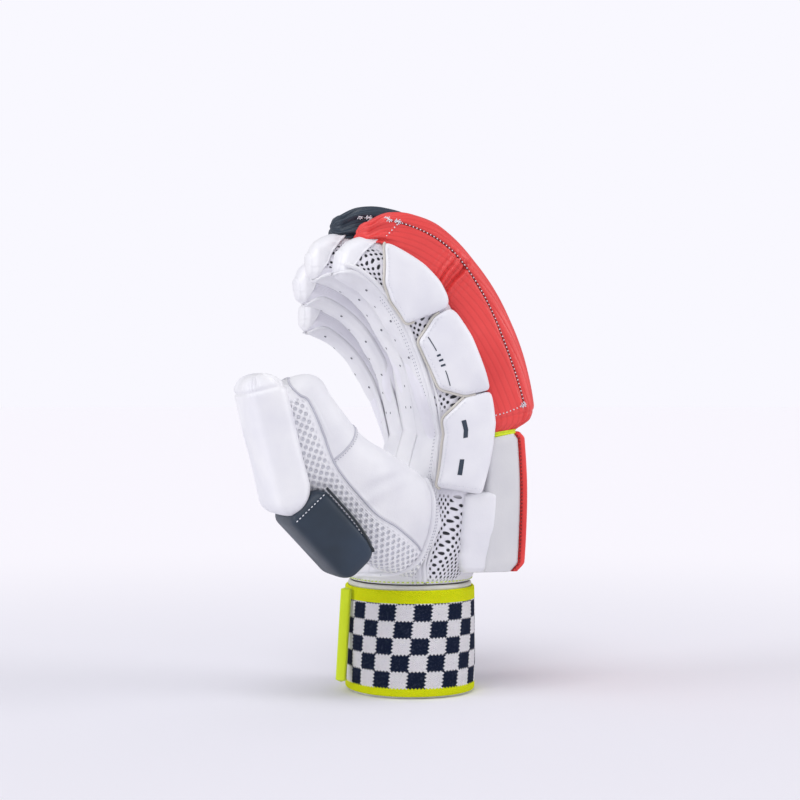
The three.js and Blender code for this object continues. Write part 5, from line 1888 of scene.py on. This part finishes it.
# Columns of the palm's grid that the holes lie on, in pairs and one by one in turn
PAIR_COLUMNS = (9, 24)
SINGLE_COLUMN = (16,)
PALM_SIDE = np.array([-1.0, 0.0, 0.2])
hole_places, hole_facings = [], []
for name, (s, points) in palm_strips.items():
    facing = normals(points)
    facing = facing * np.sign(np.sum(facing * PALM_SIDE))
    start = HOLES["index_start"] if name == "index" else HOLES["start"]
    end = FINGERS[name]["length"] - HOLES["before_tip"]
    for number, at in enumerate(np.arange(start, end, HOLES["step"])):
        row = np.argmin(np.abs(s - at))
        for column in (PAIR_COLUMNS if number % 2 == 0 else SINGLE_COLUMN):
            hole_places.append(points[row, column] + HOLES["lift"] * facing[row, column])
            hole_facings.append(facing[row, column])
# Each disc is painted shade in a punched hole
holes = dishes("perforations", np.array(hole_places), np.array(hole_facings), HOLES["radius"], perforation_shade)
finish_piece(holes, "white_leather")

# %% Fine stitches
# Columns of the palm's grid with a row of thread, which ends at a share of the finger
STITCHED_COLUMNS = (4, 6)
STITCHED_TO = 0.75
fine_rows = []
for name, (s, points) in palm_strips.items():
    if not FINGERS[name]["outer"]:
        continue
    facing = normals(points) * faces_out(points)
    rows = s < STITCHED_TO * FINGERS[name]["length"]
    for column in STITCHED_COLUMNS:
        fine_rows.append((points[rows, column] + 0.05 * facing[rows, column], facing[rows, column]))
palm_thread = sew("palm_stitches", fine_rows, grey_thread, length=0.7, gap=1.2, radius=0.2)
finish_piece(palm_thread, "white_leather")

# The seam across the thumb's leather runs from seam to seam and bows towards the tip in the middle
cross_turn = np.linspace(-1.6, 1.62, 90)
cross_along = 0.765 + 0.055 * bump_at(cross_turn, 0.9)
cross_line = np.concatenate([thumb_surface(np.array([along]), np.array([turn]))[0]
                             for along, turn in zip(cross_along, cross_turn)])
cross_facing = unit(cross_line - thumb_surface(cross_along, np.array([0, np.pi])).mean(axis=1))
cross_path = cross_line + cross_facing * 0.15
pipe("thumb_cross_seam", cross_path, 0.42, grey_piping, "white_leather", cross_facing, 8)
cross_thread = sew("thumb_stitches", [(cross_path + [0.9, 0, -0.9] + 0.2 * cross_facing, cross_facing)],
                   grey_thread, length=0.8, gap=0.9, radius=0.2)
finish_piece(cross_thread, "white_leather")

# %% [markdown]
# ## Welt round the thumb's root
#
# The thumb's leather is let into the palm under a raised welt. Its line is known as seen from the side, so
# it is draped: at each place it takes the point nearest the camera's side among the skins below it, and a
# running mean smooths what it took.

# %% Draped welt
thumb_body = thumb_along < 1.96
hand_side = surface(index, np.arange(-84.0, 30.0, 1.0), np.linspace(0, 0.4, 40), "back")
skins_below = np.concatenate([skin_points.reshape(-1, 3) for skin_points in (
    leather_points[thumb_body], mesh_points[thumb_body], palm_strips["index"][1], palm_strips["middle"][1],
    hand_side)])
# How many points of the skins are looked at for each place, and how many places the mean runs over
NEAREST = 14
RUNNING = 13


def draped(x, z, lift):
    """Points at x and z that lie on the skin nearest the thumb's side, lifted off it."""
    y = []
    for place_x, place_z in zip(x, z):
        away = np.hypot(skins_below[:, 0] - place_x, skins_below[:, 2] - place_z)
        y.append(skins_below[np.argpartition(away, NEAREST)[:NEAREST], 1].min())
    wide = np.pad(y, RUNNING // 2, mode="edge")
    smooth = np.convolve(wide, np.ones(RUNNING) / RUNNING, mode="valid")
    return np.stack([x, smooth - lift, z], axis=1)


# Share along the welt, then X and Z
ROOT_LINE = [(0, -7.5, 121.5), (0.3, -4.2, 114), (0.46, -2.8, 107), (0.6, -3.2, 97.5),
             (0.76, -9.5, 77), (0.88, -23.4, 67.6), (1, -37.3, 65.2)]
run = np.linspace(0, 1, 140)
root_x, root_z = columns_of(ROOT_LINE, run)
root = draped(root_x, root_z, 0.1)
thickness = 1.15 * ease(0, 0.12, run) + 0.15
pipe("thumb_root_welt", root, thickness, white_leather, "white_leather", TO_CAMERA, 14)
sewn = slice(10, -8)
root_rows = [sewn_flat(draped(root_x[sewn] + shift, root_z[sewn] + 0.3 * shift, 0.35))
             for shift in (2.2, 3.4)]
root_thread = sew("root_stitches", root_rows, grey_thread, length=0.7, gap=1.0, radius=0.2)
finish_piece(root_thread, "white_leather")

# %% Stitched hem above the cuff
HEM_STITCHES = {"off": 1.2, "rise": 1.6, "places": 260}
hem_turn = np.linspace(0, 2 * np.pi, HEM_STITCHES["places"])
hem_x = (CUFF["half_depth"] + HEM_STITCHES["off"]) * corner_power(np.cos(hem_turn), CUFF["power"])
hem_y = (CUFF["half_width"] + HEM_STITCHES["off"]) * corner_power(np.sin(hem_turn), CUFF["power"])
hem_path = np.stack([hem_x, hem_y, np.full(len(hem_turn), CUFF["height"] + HEM_STITCHES["rise"])], axis=1)
hem_facing = unit(hem_path * [1, 1, 0])
hem_thread = sew("hem_stitches", [(hem_path, hem_facing)], neon_thread, length=1.6, gap=1.1, radius=0.34)
finish_piece(hem_thread, "neon_trim")
